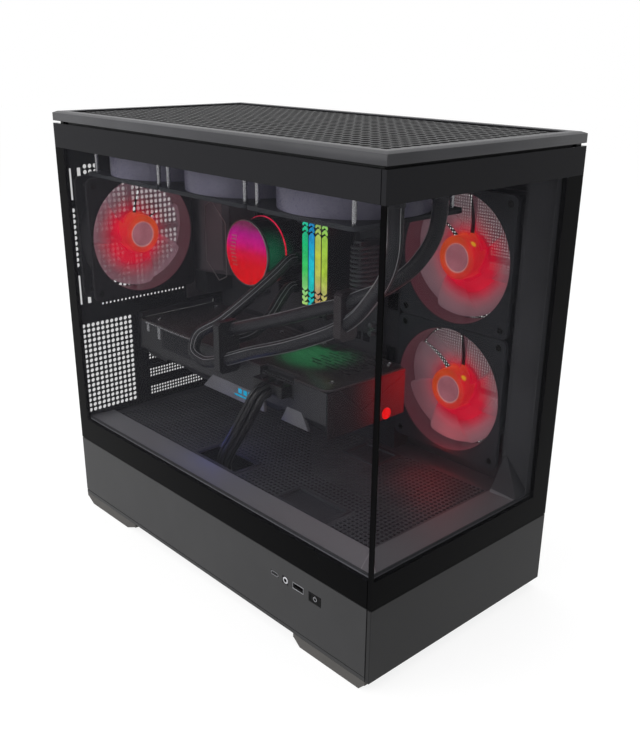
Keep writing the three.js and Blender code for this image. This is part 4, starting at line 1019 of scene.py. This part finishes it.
# %% Memory modules
spreader_steel = finish("brushed_steel_spreader_black", "#19191c", 0.35, metallic=0.3)
BAR = (236.5, 319)
CUT_PITCH, CUT_LEAN = 5.2, 42
ram_x, ram_y, ram_z = limits("ram_module_1")
middle = sum(ram_y) / 2
bar = block("bar", (ram_x[0], ram_x[0] + 2.2), (middle - 3, middle + 3), BAR)
for end, lean in ((BAR[0], 1), (BAR[1], -1)):
    for step in range(3):
        for side in (-1, 1):
            gap = block("gap", (ram_x[0] - 2, ram_x[0] + 9), (-3, 3), (-1.1, 1.1))
            turn = Matrix.Rotation(math.radians(CUT_LEAN * side * lean), 4, "X")
            carve(bar, placed(gap, (0, middle + side * 1.6, end + lean * (3 + step * CUT_PITCH)), turn))
bevel(bar, 0.35, 1)
shell = [bevel(block("spreader", (ram_x[0] + 1.6, ram_x[1] - 6), y, grown(ram_z, -2)), 0.5)
         for y in ((middle - 3.4, middle - 2.2), (middle + 2.2, middle + 3.4))]
shell.append(block("laminate", (ram_x[0] + 3, ram_x[1]), (middle - 0.6, middle + 0.6), ram_z))
shell += [bevel(block("cap", (ram_x[0] + 1, ram_x[0] + 5), (middle - 2.6, middle + 2.6), z), 0.5)
          for z in ((ram_z[0] + 1, BAR[0] - 1), (BAR[1] + 1, ram_z[1] - 1))]
shell = join(*shell)
for index, (hue, colours) in enumerate(BAR_COLOURS):
    node, slot = f"ram_module_{index + 1}", f"memory_{hue}"
    step = (0, sum(limits(node)[1]) / 2 - middle, 0)
    glow = lit_acrylic(f"lit_acrylic_{hue}", *BAR, colours, 1.35)
    piece(copy(bar, step), f"memory_light_{index + 1}", glow)
    piece(copy(shell, step), f"memory_spreader_{index + 1}", spreader_steel, replaces=[node])
remove(bar, shell)


# %% [markdown]
# ## Pump head
# The pump is a black cylinder with a clear cap. Light from below the cap runs from magenta to red, and a
# thin red ring glows where the cylinder meets its base. The cap is a short bar whose face is inset twice,
# which gives it a bright rim and a slightly sunken, lit face. A row of small lenses lies along one side
# of the face.

# %% Pump head
cap_x, cap_y, cap_z = limits("pump_cap")
centre = (sum(cap_y) / 2, sum(cap_z) / 2)
CAP_RADIUS, RING_AT = 32.6, 34
pump_glow = lit_acrylic("lit_acrylic_magenta_red", centre[1] - 27, centre[1] + 27, [
    (0, "#fc0010"), (0.3, "#f80018"), (0.5, "#f40048"), (0.68, "#e80090"), (0.85, "#c81094"),
    (1, "#88305c")], base="#08080a")
rim_metal = finish("turned_aluminium_rim", "#8d8488", 0.35, metallic=0.8, depth=0.003)
cap = rod("cap", "x", CAP_RADIUS, *cap_x, centre, 72)
bevel(inset(cap, facing("-x"), (1.5, 0), (0.5, -0.5)), 0.5, angle=60)
piece(cap, "pump_lit_cap", pump_glow, replaces=["pump_cap"])
cap.data.materials.append(rim_metal)
for face in cap.data.polygons:
    spot = face.center / MM
    face.material_index = int(math.hypot(spot.y - centre[0], spot.z - centre[1]) > CAP_RADIUS - 1.6)

lens = rod("lens", "x", 0.8, cap_x[0] + 0.4, cap_x[0] + 0.9, (0, 0), 8)
lenses = copies(lens, [(0, centre[0] + 24.5 - column * 2.6 - abs(row) * 0.9, centre[1] + row * 3.6)
                       for row in range(-4, 5) for column in range(3)])
lens_grey = lit_acrylic("lit_acrylic_grey_green", centre[1] - 20, centre[1] + 20,
                        [(0, "#8a6660"), (1, "#a08a80")], 0.8)
piece(join(*lenses), "pump_lenses", lens_grey)

ring = rod("ring", "x", CAP_RADIUS + 0.9, RING_AT, RING_AT + 1.2, centre, 72)
carve(ring, rod("hole", "x", CAP_RADIUS - 0.6, RING_AT - 1, RING_AT + 2.2, centre, 72))
ring_glow = lit_acrylic("lit_acrylic_red_ring", centre[1] - 30, centre[1] + 30,
                        [(0, "#ff1010"), (1, "#f02050")])
piece(ring, "pump_lit_ring", ring_glow)
pump_gloss = finish("polished_plastic_pump", "#0c0c0e", 0.3, depth=0.002, **INSIDE)
thrown_light(pump_gloss, (18, centre[0] - 33, centre[1] + 4), 30, "#10b078", 0.24)
dress(pump_gloss, "pump_block")


# %% [markdown]
# ## Board furniture
# A bare board looks empty. It gets what every board has: round capacitors, small chips and chokes,
# headers with pins, the screws that hold it, and a silver line on its cover. Each kind is shaped once and
# copied along its row.

# %% Board furniture
FACE = 71.5  # where the laminate's front face lies along x


def on_board(shape, *places):
    """Copies of a shape made on the board's face, at places given by y and z."""
    return copies(shape, [(0, y, z) for y, z in places])


aluminium_can = finish("aluminium_can", "#8e8e94", 0.3, metallic=0.9, depth=0.003)
capacitor = bevel(rod("capacitor", "x", 2.6, FACE - 7, FACE, (0, 0), 12), 0.4)
capacitors = on_board(
    capacitor, (132, 344), (126, 344), (120, 344), (114, 344), (108, 344), (102, 344), (30, 222), (24, 222),
    (30, 214), (128, 226), (128, 219), (122, 222), (-30, 345), (-34, 220), (-34, 212), (120, 129),
    (104, 129), (60, 129), (40, 129))
piece(join(*capacitors), "capacitors", aluminium_can)

chip = bevel(block("chip", (FACE - 1.4, FACE), (-4, 4), (-4, 4)), 0.3, 1)
chips = on_board(chip, (-24, 205), (-12, 205), (30, 130), (100, 222), (132, 140), (-30, 150), (-30, 165),
                 (60, 222))
choke = bevel(block("choke", (FACE - 6, FACE), (-3.4, 3.4), (-3.4, 3.4)), 0.6)
chips += on_board(choke, *((y, 335) for y in range(60, 134, 9)), *((133.5, z) for z in range(248, 330, 9)))
piece(join(*chips), "chips_and_chokes", black_plastic)

pin = block("pin", (FACE - 8, FACE), (-0.35, 0.35), (-0.35, 0.35))
pins = on_board(pin, *((-34 + 2.54 * i, z) for i in range(26) for z in (126, 128.54)))
piece(join(*pins), "header_pins", bright_steel)

screw = rod("screw", "x", 3.2, FACE - 2.4, FACE, (0, 0), 16)
inset(screw, facing("-x"), (1.4, 0), (0.3, -1.0))
screws = on_board(screw, (-32, 130), (-32, 214), (40, 130), (40, 214))
piece(join(*screws), "board_screws", bright_steel)

INLAY_AT = 29.75
INLAY = [(174, 252), (174, 309), (162, 316), (140, 296), (140, 240), (153, 234)]
strips = []
for (y0, z0), (y1, z1) in zip(INLAY, INLAY[1:] + INLAY[:1]):
    half = math.hypot(y1 - y0, z1 - z0) / 2 + 0.4
    strip = block("strip", (-0.3, 0.3), (-half, half), (-0.45, 0.45))
    turn = Matrix.Rotation(math.atan2(z1 - z0, y1 - y0), 4, "X")
    strips.append(placed(strip, (INLAY_AT, (y0 + y1) / 2, (z0 + z1) / 2), turn))
inlay_silver = finish("satin_silver_paint", "#a8a4a4", 0.4, metallic=0.5)
piece(join(*strips), "cover_inlay", inlay_silver)


# %% [markdown]
# ## Graphics card
# The card lies level with its fans facing down. Its aluminium backplate has staggered vent slots near the
# front. A lighter trim runs along the lower edge, a window shows the fins of the cooler, and the front
# end is a panel with V-shaped grooves. The plate is a cuboid with two rounded corners, and the slots are
# cut out of it one by one.

# %% Backplate
plate_x, plate_y, plate_z = limits("card_backplate")
through = grown(plate_z, 2)
plate = block("plate", plate_x, plate_y, plate_z)
round_corners(plate, "z", 9, 5, where=lambda c: c.y < plate_y[0] + 1)
for column in range(9):
    for row in range(3):
        x, y = 2 + column * 5.6, plate_y[0] + 17 + row * 18 + (column % 2) * 7
        carve(plate, block("slot", (x, x + 2.8), (y, y + 14), through))
carve(plate, block("plug_room", (plate_x[0] - 2, plate_x[0] + 9), (-45, 1), through))
backplate_alloy = finish("anodised_aluminium_black", "#565052", 0.3, metallic=0.3, depth=0.003, **INSIDE)
piece(bevel(plate, 0.5), "vented_backplate", backplate_alloy, replaces=["card_backplate"])

screw = rod("screw", "z", 2.6, plate_z[1] - 0.2, plate_z[1] + 0.9, (0, 0), 12)
inset(screw, facing("z"), (1.2, 0), (0.3, -0.6))
screws = copies(screw, [(-28, 182, 0), (46, 182, 0), (-28, 118, 0), (46, 118, 0), (-6, 64, 0), (40, 64, 0),
                        (-28, 20, 0), (46, 8, 0), (-22, -74, 0), (50, -74, 0)])
piece(join(*screws), "backplate_screws", bright_steel)

# %% Edge, fins, trim and lights
card_x, card_y = limits("card_shroud")[:2]
SKIN = card_x[0] - 0.2
card_grey = finish("moulded_plastic_card", "#3a3a3d", 0.45, grain=0.7)
dress(card_grey, "card_shroud")
edge = [block("edge", (SKIN, card_x[0] + 1.4), (92, 190), (192.6, 194.6))]
edge += [block("tab", (SKIN, card_x[0] + 1.0), (y - 2.6, y + 2.6), (193 - drop, 193))
         for y, drop in ((186, 9), (166, 13), (98, 12))]
piece(join(*(bevel(each, 0.4, 1) for each in edge)), "card_steel_edge", bright_steel)

fins = [block("fin", (SKIN, card_x[0] + 0.8), (104 + i * 1.9, 104.7 + i * 1.9), (173, 191))
        for i in range(30)]
fins.append(block("back", (card_x[0] - 0.05, card_x[0] + 0.6), (103, 161), (172, 192)))
piece(join(*fins), "cooler_fins", dark_alloy)

trim_grey = finish("satin_plastic_card_trim", "#84838a", grain=0.7)
trims = []
for y, leans in (((-4, 90), (-16, 0)), ((-64, -27), (-9, 9))):
    trim = block("trim", (SKIN, card_x[0] + 3), y, (151.5, 167))
    for end, lean in zip((1, -1), leans):
        work(trim, lambda c, d: abs(d.x) > 0.9 and c.z > 160 and (c.y - sum(y) / 2) * end > 0,
             bpy.ops.transform.translate, "EDGE", value=(0, lean * MM, 0))
    trims.append(bevel(trim, 0.5))
piece(join(*trims), "card_trim", trim_grey)

blue_glow = lit_acrylic("lit_acrylic_blue", 0, 40, [(0, "#10c4f0"), (1, "#08b4e8")], 1.1, "Y")
bar_x = (card_x[0] - 0.5, card_x[0] + 0.5)
bars = [block("bar", bar_x, (2, 40), (156.2, 158.0))]
bars += [block("bar", bar_x, (6 + i * 7.5, 11.5 + i * 7.5), (159.6, 164.6)) for i in range(4)]
piece(join(*(bevel(each, 0.3, 1) for each in bars)), "card_light_strip", blue_glow)

# %% Front panel and rotors
END = plate_y[0] + 0.3
front = block("front", (card_x[0], 57), (END, card_y[0]), (151, 193.3))
for points in ([(-28, 194), (2, 168), (58, 190)], [(4, 166), (20, 152)]):
    for (x0, z0), (x1, z1) in zip(points, points[1:]):
        half = math.hypot(x1 - x0, z1 - z0) / 2 + 0.8
        groove = block("groove", (-half, half), (-1, 1), (-0.8, 0.8))
        turn = Matrix.Rotation(-math.atan2(z1 - z0, x1 - x0), 4, "Y")
        carve(front, placed(groove, ((x0 + x1) / 2, END, (z0 + z1) / 2), turn))
front_grey = finish("moulded_plastic_card_end", "#252528", 0.4, grain=0.7, **INSIDE)
thrown_light(front_grey, (66, -88, 196), 84, "#ff1420", 0.34)
piece(front, "card_front_panel", front_grey)


def downward_fan(node, name, hub, tip, count, x, y):
    """A rotor that takes the place of a solid one and rides on its body."""
    low, high = limits(node)[2]
    wheel = placed(fan_rotor(hub, tip, 0, high - low, count), (x, y, low))
    piece(wheel, name, black_plastic, node, [node])


for index, y in enumerate((148, 56, -36)):
    downward_fan(f"card_rotor_{index + 1}", f"card_blades_{index + 1}", 14, 42, 9, 8, y)
downward_fan("psu_rotor", "psu_blades", 20, 56, 7, 10, 138)


# %% [markdown]
# ## Hoses and cables
# The two hoses of the cooler are 11.5 mm rubber with a woven sleeve. A curve through the points of their
# route carries a round section, and becomes a mesh. The lead of the card is a bundle of seven wires, and
# the wide lead of the board has two rows of twelve. Their wires run side by side along one route, so a
# small function shifts a route sideways without twisting it.

# %% Routes
def smooth_route(points, per_span=8):
    """More points on a smooth line through a few, spaced as their distances ask."""
    points = [Vector(p) for p in points]
    padded = [2 * points[0] - points[1]] + points + [2 * points[-1] - points[-2]]
    route = []
    for p0, p1, p2, p3 in zip(padded, padded[1:], padded[2:], padded[3:]):
        t1 = (p1 - p0).length ** 0.5
        t2 = t1 + (p2 - p1).length ** 0.5
        t3 = t2 + (p3 - p2).length ** 0.5
        for step in range(per_span):
            t = t1 + (t2 - t1) * step / per_span
            a1 = p0.lerp(p1, t / t1)
            a2 = p1.lerp(p2, (t - t1) / (t2 - t1))
            a3 = p2.lerp(p3, (t - t2) / (t3 - t2))
            b1 = a1.lerp(a2, t / t2)
            b2 = a2.lerp(a3, (t - t1) / (t3 - t1))
            route.append(b1.lerp(b2, (t - t1) / (t2 - t1)))
    return route + [points[-1]]


def shifted(route, across, aside, first):
    """A route moved sideways by two distances, in a frame that turns with it."""
    side = Vector(first)
    moved = []
    for index, point in enumerate(route):
        ahead = (route[min(index + 1, len(route) - 1)] - route[max(index - 1, 0)]).normalized()
        side = (side - ahead * side.dot(ahead)).normalized()
        moved.append(point + side * across + ahead.cross(side) * aside)
    return moved


def around(route, distance, angle, first):
    """A route moved sideways by a distance, at an angle round it."""
    return shifted(route, distance * math.cos(angle), distance * math.sin(angle), first)


def tube_along(route, radius, sides=16):
    """A round tube along a route in millimetres, closed at its ends."""
    data = bpy.data.curves.new("tube", "CURVE")
    data.dimensions = "3D"
    line = data.splines.new("POLY")
    line.points.add(len(route) - 1)
    for point, place in zip(line.points, route):
        point.co = (*(place * MM), 1)
    data.bevel_depth = radius * MM
    data.bevel_resolution = sides // 4 - 1 if sides > 4 else 0
    data.use_fill_caps = True
    tube = bpy.data.objects.new("tube", data)
    bpy.context.collection.objects.link(tube)
    only(tube)
    bpy.ops.object.convert(target="MESH")
    return bpy.context.object


# %% Hoses
HOSE_RADIUS = 5.7
HOSE_ROUTES = [
    [(37.7, 43, 274), (32, 43, 274), (18, 45, 264), (-6, 54, 244), (-30, 72, 219.6), (-46, 87, 205.6),
     (-54, 84, 191.6), (-55, 64, 186.6), (-54, 40, 193.6), (-52, 0, 210.6), (-50, -54, 231.6),
     (-48, -106, 256.6), (-49, -127, 270.9), (-55, -148, 289.4), (-62, -170, 313.4), (-68, -182, 335.4),
     (-70, -184, 356.4), (-70, -184, 365.4)],
    [(37.7, 43, 247), (32, 43, 247), (18, 39, 240), (-4, 33, 225), (-22, 38, 212.6), (-34, 50, 208.6),
     (-43, 55, 210.6), (-49, 47, 216.6), (-47, 30, 224.6), (-45, -30, 246.6), (-45, -84, 267.6),
     (-46, -111, 277.6), (-44, -124, 284.4), (-39, -148, 296.9), (-32, -169, 315.4), (-26, -181, 337.4),
     (-24, -184, 356.4), (-24, -184, 365.4)],
]
sleeve = finish("woven_nylon_sleeve_black", "#38383c", 0.3, grain=1.1, depth=0.1, **INSIDE)
# pale lines along the top of each hose are painted highlights
hose_highlight_paint = finish("painted_hose_highlight_grey", "#b4b4b8", 0.4)
for index, points in enumerate(HOSE_ROUTES):
    route = smooth_route(points)
    length = sum((b - a).length for a, b in zip(route, route[1:]))
    hose = tube_along(route, HOSE_RADIUS, 24)
    piece(hose, f"cooler_hose_{index + 1}", sleeve, replaces=[f"tube_{index + 1}"])
    # three thin pale tubes on the upper side of the hose: painted highlights
    highlight_tubes = [tube_along(around(route, HOSE_RADIUS, angle, (0, -0.5, 1)), 0.32, 4)
               for angle in (-0.5, 0.1, 2.2)]
    piece(join(*highlight_tubes), f"painted_hose_highlights_{index + 1}", hose_highlight_paint)
    print("hose", index + 1, round(length), "mm long")

# %% Card lead
jacket = finish("sleeved_wire_black", "#161618", 0.35, grain=0.9, depth=0.05)
route = smooth_route([(-50, -22, 183.5), (-60, -21, 179), (-66, -14, 161), (-66, 3, 135), (-62, 24, 109),
                      (-57, 38, 88), (-50, 44, 70), (-44, 50, 56)])
wires = [tube_along(route, 2.5, 12)]
wires += [tube_along(around(route, 5.2, math.radians(60 * turn), (0, 1, 0)), 2.5, 12) for turn in range(6)]
plug = [bevel(block("plug", (-52, -39.3), y, (178, 189)), 0.8) for y in ((-42, -23), (-21, -2))]
plug += [bevel(block("latch", (-49, -42), y, (188.5, 190.3)), 0.4, 1) for y in ((-34, -30), (-14, -10))]
piece(join(*wires, *plug), "card_lead", jacket, replaces=["card_power_cable"])

# %% Board lead
# the black wires are drawn a lighter grey: painted light on them
wire_lit_grey = finish("pvc_wire_black_painted_light", "#5a5a60", 0.25, grain=0.9, depth=0.01)
route = smooth_route([(50, -31.5, 276), (42, -32.5, 276), (37, -38, 276), (40, -45, 276), (52, -48.5, 276),
                      (70, -48.5, 276), (87.6, -48.5, 276)], 5)
wires = [tube_along(shifted(route, row, (column - 5.5) * 4.2, (0, 1, 0)), 1.25, 8)
         for column in range(12) for row in (-1.3, 1.3)]
plug = bevel(block("plug", (48, 59.7), (-36, -27), (250, 302)), 0.8)
latch = bevel(block("latch", (49, 57), (-36.9, -35.8), (270, 282)), 0.3, 1)
piece(join(plug, latch, *wires), "board_lead", wire_lit_grey, replaces=["board_power_cable"])


# %% [markdown]
# The corner of the window ledge is mitred: a small facet lies between two seams. The seams are drawn as
# thin pale lines, which are painted highlights along their edges.

# %% Ledge seams
LEDGE_CORNER = (-74.2, -176.2, 97.7)
seams = [tube_along(smooth_route([end, LEDGE_CORNER], 2), 0.45, 4)
         for end in ((-107.0, -195, 99.9), (-103, -208.0, 99.9))]
seam_highlight = finish("painted_seam_highlight_grey", "#d0d0d6")
piece(join(*seams), "ledge_seams", seam_highlight)


# %% [markdown]
# ## Radiator fans: ducts and screws
# Between the flanges of the three fans under the lid the round ducts show as smooth, paler walls, and
# long screws pass from flange to flange in the open corners. A duct wall is a thin sleeve: a short bar
# with its middle carved out. One screw is made and copied to every corner, and its head also to the
# corners of the other fans.

# %% Ducts and screws
DUCT_WALL = (59.3, 59.6)  # inner and outer radius
duct_mauve = finish("satin_polycarbonate_duct", "#8a869e", 0.3, grain=1.5, depth=0.004)
duct = rod("duct", "z", DUCT_WALL[1], FLANGE + 0.3, FAN_DEPTH - FLANGE - 0.3, (0, 0), 96)
carve(duct, rod("inside", "z", DUCT_WALL[0], 0, FAN_DEPTH, (0, 0), 96))
ducts = copies(duct, [fan_places[name] for name, axis, _ in fans if axis == "z"])
piece(join(*ducts), "fan_ducts", duct_mauve)
long_screw = rod("screw", "z", 1.9, FLANGE, FAN_DEPTH - FLANGE, (0, 0), 12)
head = rod("head", "z", 3.2, -0.05, 0.9, (0, 0), 16)
bevel(inset(head, facing("-z"), (1.2, 0)), 0.3, 1)
long_screws, corner_screws = [], []
for name, axis, _ in fans:
    for a, b in CORNERS:
        shift = {"x": (0, a, b), "y": (a, 0, b), "z": (a, b, 0)}[axis]
        place = fan_places[name] + Vector(shift)
        if axis == "z":
            long_screws += [copy(long_screw, place), copy(head, place)]
        else:
            corner_screws.append(copy(head, place, TURNS[axis]))
remove(long_screw, head)
dark_screw = finish("black_zinc_screw", "#0b0b0c", 0.3, depth=0.003, **INSIDE)
piece(join(*long_screws), "fan_screws", bright_steel)
piece(join(*corner_screws), "fan_corner_screws", dark_screw)


# %% [markdown]
# ## Sockets and power button
# The row on the skirt has a small oval socket, a round audio socket with a bright ring, a flat socket
# with a black tongue, and a polished button. Each metal shell is a block or bar with its opening carved
# out, and a tongue or a dark well inside.

# %% Front sockets
socket_black = finish("socket_liner_black", "#070708", depth=0.003, **{"Specular IOR Level": 0.08})
socket_steel = finish("blackened_socket_steel", "#8a8a8e", 0.35, metallic=0.8, depth=0.003)
c_x, c_y, c_z = limits("usb_c_socket")
middle = sum(c_z) / 2
well = block("well", (c_x[0] - 1, c_x[1] - 1), grown(c_y, -0.5), grown(c_z, -0.5))
shell = carve(round_corners(block("shell", c_x, c_y, c_z), "x", 1.6, 4), round_corners(well, "x", 1.2, 4))
piece(shell, "oval_socket", socket_steel, replaces=["usb_c_socket"])
tongue = block("tongue", (c_x[0] + 0.6, c_x[1] - 1), grown(c_y, -1.6), (middle - 0.35, middle + 0.35))
tongues = [bevel(tongue, 0.15, 1)]

a_x, a_y, a_z = limits("usb_a_socket")
shell = block("shell", a_x, a_y, a_z)
carve(shell, block("well", (a_x[0] - 1, a_x[1] - 1), grown(a_y, -0.5), grown(a_z, -0.5)))
piece(bevel(shell, 0.15, 1), "flat_socket", socket_steel, replaces=["usb_a_socket"])
tongue = block("tongue", (a_x[0] + 0.4, a_x[1] - 1), grown(a_y, -0.9), (a_z[0] + 0.8, a_z[0] + 2.6))
tongues.append(bevel(tongue, 0.2, 1))

j_x, j_y, j_z = limits("audio_socket")
centre = (sum(j_y) / 2, sum(j_z) / 2)
ring = bevel(rod("ring", "x", 3.2, *j_x, centre), 0.5)
carve(ring, rod("well", "x", 1.75, j_x[0] - 1, j_x[1] - 1, centre, 24))
piece(ring, "round_socket", bright_steel, replaces=["audio_socket"])
well = rod("well", "x", 1.7, j_x[0] + 1.2, j_x[1] - 1, centre, 24)
carve(well, rod("bore", "x", 1.3, j_x[0], j_x[1] - 2, centre, 24))
piece(join(*tongues, well), "socket_tongues", socket_black)

# %% Power button
b_x, b_y, b_z = limits("power_button")
mid_y, mid_z = sum(b_y) / 2, sum(b_z) / 2
sign_x, through = (b_x[0] + 0.25, b_x[0] + 0.6), (b_x[0] - 1, b_x[0] + 2)
button = round_corners(block("button", b_x, b_y, b_z), "x", 1.2, 3)
inset(button, facing("-x"), (0.9, 0), (0.5, -0.4))
piece(button, "polished_button", socket_black, "power_button", ["power_button"])
sign = rod("sign", "x", 2.1, *sign_x, (mid_y, mid_z), 24)
carve(sign, rod("hole", "x", 1.6, *through, (mid_y, mid_z), 24),
      block("gap", through, (mid_y - 0.7, mid_y + 0.7), (mid_z + 1, mid_z + 3)))
stroke = block("stroke", sign_x, (mid_y - 0.25, mid_y + 0.25), (mid_z + 0.6, mid_z + 2.6))
sign_grey = finish("printed_sign_grey", "#8a8a8e")
piece(join(sign, stroke), "button_sign", sign_grey, "power_button")


# %% [markdown]
# ## Small lights
# A small red light shines from the front end of the card, and lit parts tint what is near them. The tints
# are weak coloured lamps: red above the shroud, blue-violet beside the card, and two spots, a green one
# from the memory modules down on the backplate and a red one on the floor of the case.

# %% Indicator and tints
light = bevel(rod("light", "y", 5.5, -89.4, -87.5, (33, 156.5), 24), 1.2, 3)
red_glow = lit_acrylic("lit_acrylic_red", 100, 180, [(0, "#ff0808"), (1, "#ff1010")], 1.2)
piece(light, "red_indicator", red_glow)
bulb = {"shadow_soft_size": 20 * MM}
lamp("POINT", "shroud_tint", (70, -120, 125), 0.04, "#ff1424", **bulb)
lamp("POINT", "card_side_tint", (-60, 30, 118), 0.02, "#5060ff", **bulb)
cone = {"shadow_soft_size": 6 * MM, "spot_blend": 1.0}
lamp("SPOT", "backplate_tint", (14, -2, 300), 1.8, "#30e080", (16, -12, 196),
     spot_size=math.radians(46), **cone)
lamp("SPOT", "floor_tint", (60, -110, 170), 0.15, "#ff1424", (50, -130, 96),
     spot_size=math.radians(70), **cone)


# %% [markdown]
# ## The rear of the board and the card
# The board's rear sockets stand out a little from their block: shells whose front face is inset and
# pressed in, each with a dark tongue. The card's bracket has windows for its four outputs and a row of
# vents under them. A thin fold of the bracket runs along the card.

# %% Rear sockets
def rear_opening(shell, wall, deep, edge=0.12):
    """Presses an opening into the face that looks to the rear, and softens the edges."""
    inset(shell, facing("y"), (wall, 0), (0.05, -deep))
    return bevel(shell, edge, 1)


SHELL_WALL, SHELL_DEPTH = 0.5, 1.6
BLOCK_Y = limits("motherboard")[1][1]
SHELL_Y = (BLOCK_Y - 0.6, BLOCK_Y + 1.4)
shells, tongues = [], []
for z in (330, 286, 262):
    for x in (51, 62):
        shell = block("shell", (x - 3.2, x + 3.2), SHELL_Y, (z - 7, z + 7))
        shells.append(rear_opening(shell, SHELL_WALL, SHELL_DEPTH))
        tongue_y = (BLOCK_Y - 0.5, BLOCK_Y + 1.1)
        tongues.append(block("tongue", (x - 0.4, x + 1.8), tongue_y, (z - 5.8, z + 5.8)))
for z, half in ((308, 8), (238, 8.2)):
    shell = block("shell", (49, 63.5), SHELL_Y, (z - half, z + half))
    shells.append(rear_opening(shell, 0.7, SHELL_DEPTH))
    tongue_y = (BLOCK_Y - 0.5, BLOCK_Y + 1.0)
    tongues.append(block("tongue", (54, 56.5), tongue_y, (z - half + 2, z + half - 2)))
for x, z in ((50, 216), (60, 216), (70, 216), (52, 347), (64, 347)):
    ring = rod("ring", "y", 3.4, BLOCK_Y - 0.6, BLOCK_Y + 1.5, (x, z), 24)
    shells.append(rear_opening(ring, 1.4, SHELL_DEPTH, 0.2))
piece(join(*shells), "rear_socket_shells", bright_steel)
tongues = [bevel(tongue, 0.15, 1) for tongue in tongues]
piece(join(*tongues), "rear_socket_tongues", socket_black)

# %% Card bracket
br_x, br_y, br_z = limits("card_bracket")
face_y = (br_y[1] - 1, br_y[1])
through = grown(face_y, 1)
upper, lower = br_z[1] - 9.2, br_z[0] + 9.2
bracket = block("bracket", br_x, face_y, br_z)
outputs = [(x, x + 17.5) for x in (-28, -7, 14, 35)]
for x in outputs:
    carve(bracket, block("window", x, through, (upper - 3.2, upper + 3.2)))
for index in range(11):
    x = -28 + index * 7.6
    carve(bracket, block("vent", (x, x + 4.6), through, (lower - 6, lower + 6)))
bevel(bracket, 0.2, 1)
fold = block("fold", (br_x[0], br_x[0] + 1), (br_y[0], face_y[0] + 0.2), br_z)
bracket_steel = finish("zinc_plated_steel_bracket", "#8b8b8f", 0.35, metallic=0.9, depth=0.004)
piece(join(bracket, fold), "vented_bracket", bracket_steel, replaces=["card_bracket"])
shells = [block("shell", grown(x, -0.4), (face_y[0] - 3, face_y[1] - 0.1), (upper - 2.9, upper + 2.9))
          for x in outputs]
shells = [rear_opening(shell, SHELL_WALL, 2.4) for shell in shells]
piece(join(*shells), "card_outputs", socket_black)


# %% [markdown]
# ## The rear of the power supply, and thumbscrews
# Air leaves the power supply through a punched field beside the mains inlet. Two knurled thumbscrews hold
# the right panel: round bars with a toothed rim, made by pressing in every other face of the side.

# %% Power supply grille, thumbscrews
case_rear = limits("psu_case")[1][1]
border_y = (case_rear + 0.1, case_rear + 0.75)
grille = hole_field("y", case_rear + 0.5, (13, 79), (16, 87), (15, 16), hole=3.6, thick=0.5)
border = [block("border", (12, 80), border_y, z) for z in ((15, 16.2), (86.8, 88))]
border += [block("border", x, border_y, (15, 88)) for x in ((12, 13.2), (78.8, 80))]
piece(join(grille, *border), "psu_grille", chassis_coat)
# a black sheet just behind the grille is painted shade: the dark inside of the power supply
shade = bevel(block("shade", (12.5, 79.5), (case_rear + 0.02, case_rear + 0.12), (15.5, 87.5)), 0.03, 1)
piece(shade, "psu_grille_shade", socket_black)

KNOB_RADIUS, KNOB_Y, KNOB_X = 4.6, (209.9, 212.6), 100
knob = rod("knob", "y", KNOB_RADIUS, *KNOB_Y, (0, 0), 36)
side_faces = iter(range(100))
inset(knob, lambda c, n: abs(n.y) < 0.5 and next(side_faces) % 2 == 0, (0.08, -0.35))
inset(knob, facing("y"), (1.4, 0), (0.2, -0.5))
piece(join(*copies(knob, [(KNOB_X, 0, z) for z in (388, 24)])), "thumb_screws", dark_alloy)


# %% [markdown]
# ## Radiator core and dust filter
# Flat tubes run along the radiator, and thin slanted fins fill the gaps between them. One fin is made, an
# Array modifier repeats it along a gap, and the row is copied to the other gaps. The filter below the
# power supply is a fine mesh in its frame.

# %% Radiator core, filter mesh
rad_x, rad_y, rad_z = limits("radiator")
core_y = (rad_y[0] + 29, rad_y[1] - 11)
TUBE_STEP, FIN_STEP = 9.4, 1.9
start, floor_z = rad_x[0] + 9, rad_z[1] - 3.4
tubes = [block("tube", (x, x + 1.8), core_y, (floor_z, rad_z[1] - 0.3))
         for x in (start + i * TUBE_STEP for i in range(11))]
tubes = [bevel(tube, 0.5, 1) for tube in tubes]
fin_y = (core_y[0], core_y[0] + 0.25)
fin = block("fin", (start + 1.8, start + TUBE_STEP), fin_y, (floor_z, rad_z[1] - 0.6))
work(fin, facing("z"), bpy.ops.transform.translate, value=(0, 0.8 * MM, 0))
modify(fin, "ARRAY", count=int((core_y[1] - core_y[0]) / FIN_STEP), use_relative_offset=False,
       use_constant_offset=True, constant_offset_displace=(0, FIN_STEP * MM, 0))
rows = copies(fin, [(i * TUBE_STEP, 0, 0) for i in range(10)])
core_black = finish("painted_aluminium_fins", "#17171a")
piece(join(*tubes, *rows), "radiator_core", core_black)

fl_x, fl_y, fl_z = limits("dust_filter")
mesh_x, mesh_y = grown(fl_x, -5), (fl_y[0] + 5, fl_y[1] - 10)
frame_y = (fl_y[0], fl_y[1] - 5)
weave = hole_field("z", fl_z[0] + 0.9, mesh_x, mesh_y, (58, 56), hole=1.6, thick=0.3, cut=0)
sides = [
    block("side", (fl_x[0], mesh_x[0] + 0.3), frame_y, fl_z),
    block("side", (mesh_x[1] - 0.3, fl_x[1]), frame_y, fl_z),
    block("side", mesh_x, (fl_y[0], mesh_y[0] + 0.3), fl_z),
    block("side", mesh_x, (mesh_y[1] - 0.3, frame_y[1]), fl_z),
    block("grip", (0, 20), (fl_y[1] - 5.5, fl_y[1]), fl_z),
]
sides = [bevel(side, 0.4, 1) for side in sides]
piece(join(weave, *sides), "filter_weave", black_plastic, "dust_filter", ["dust_filter"])
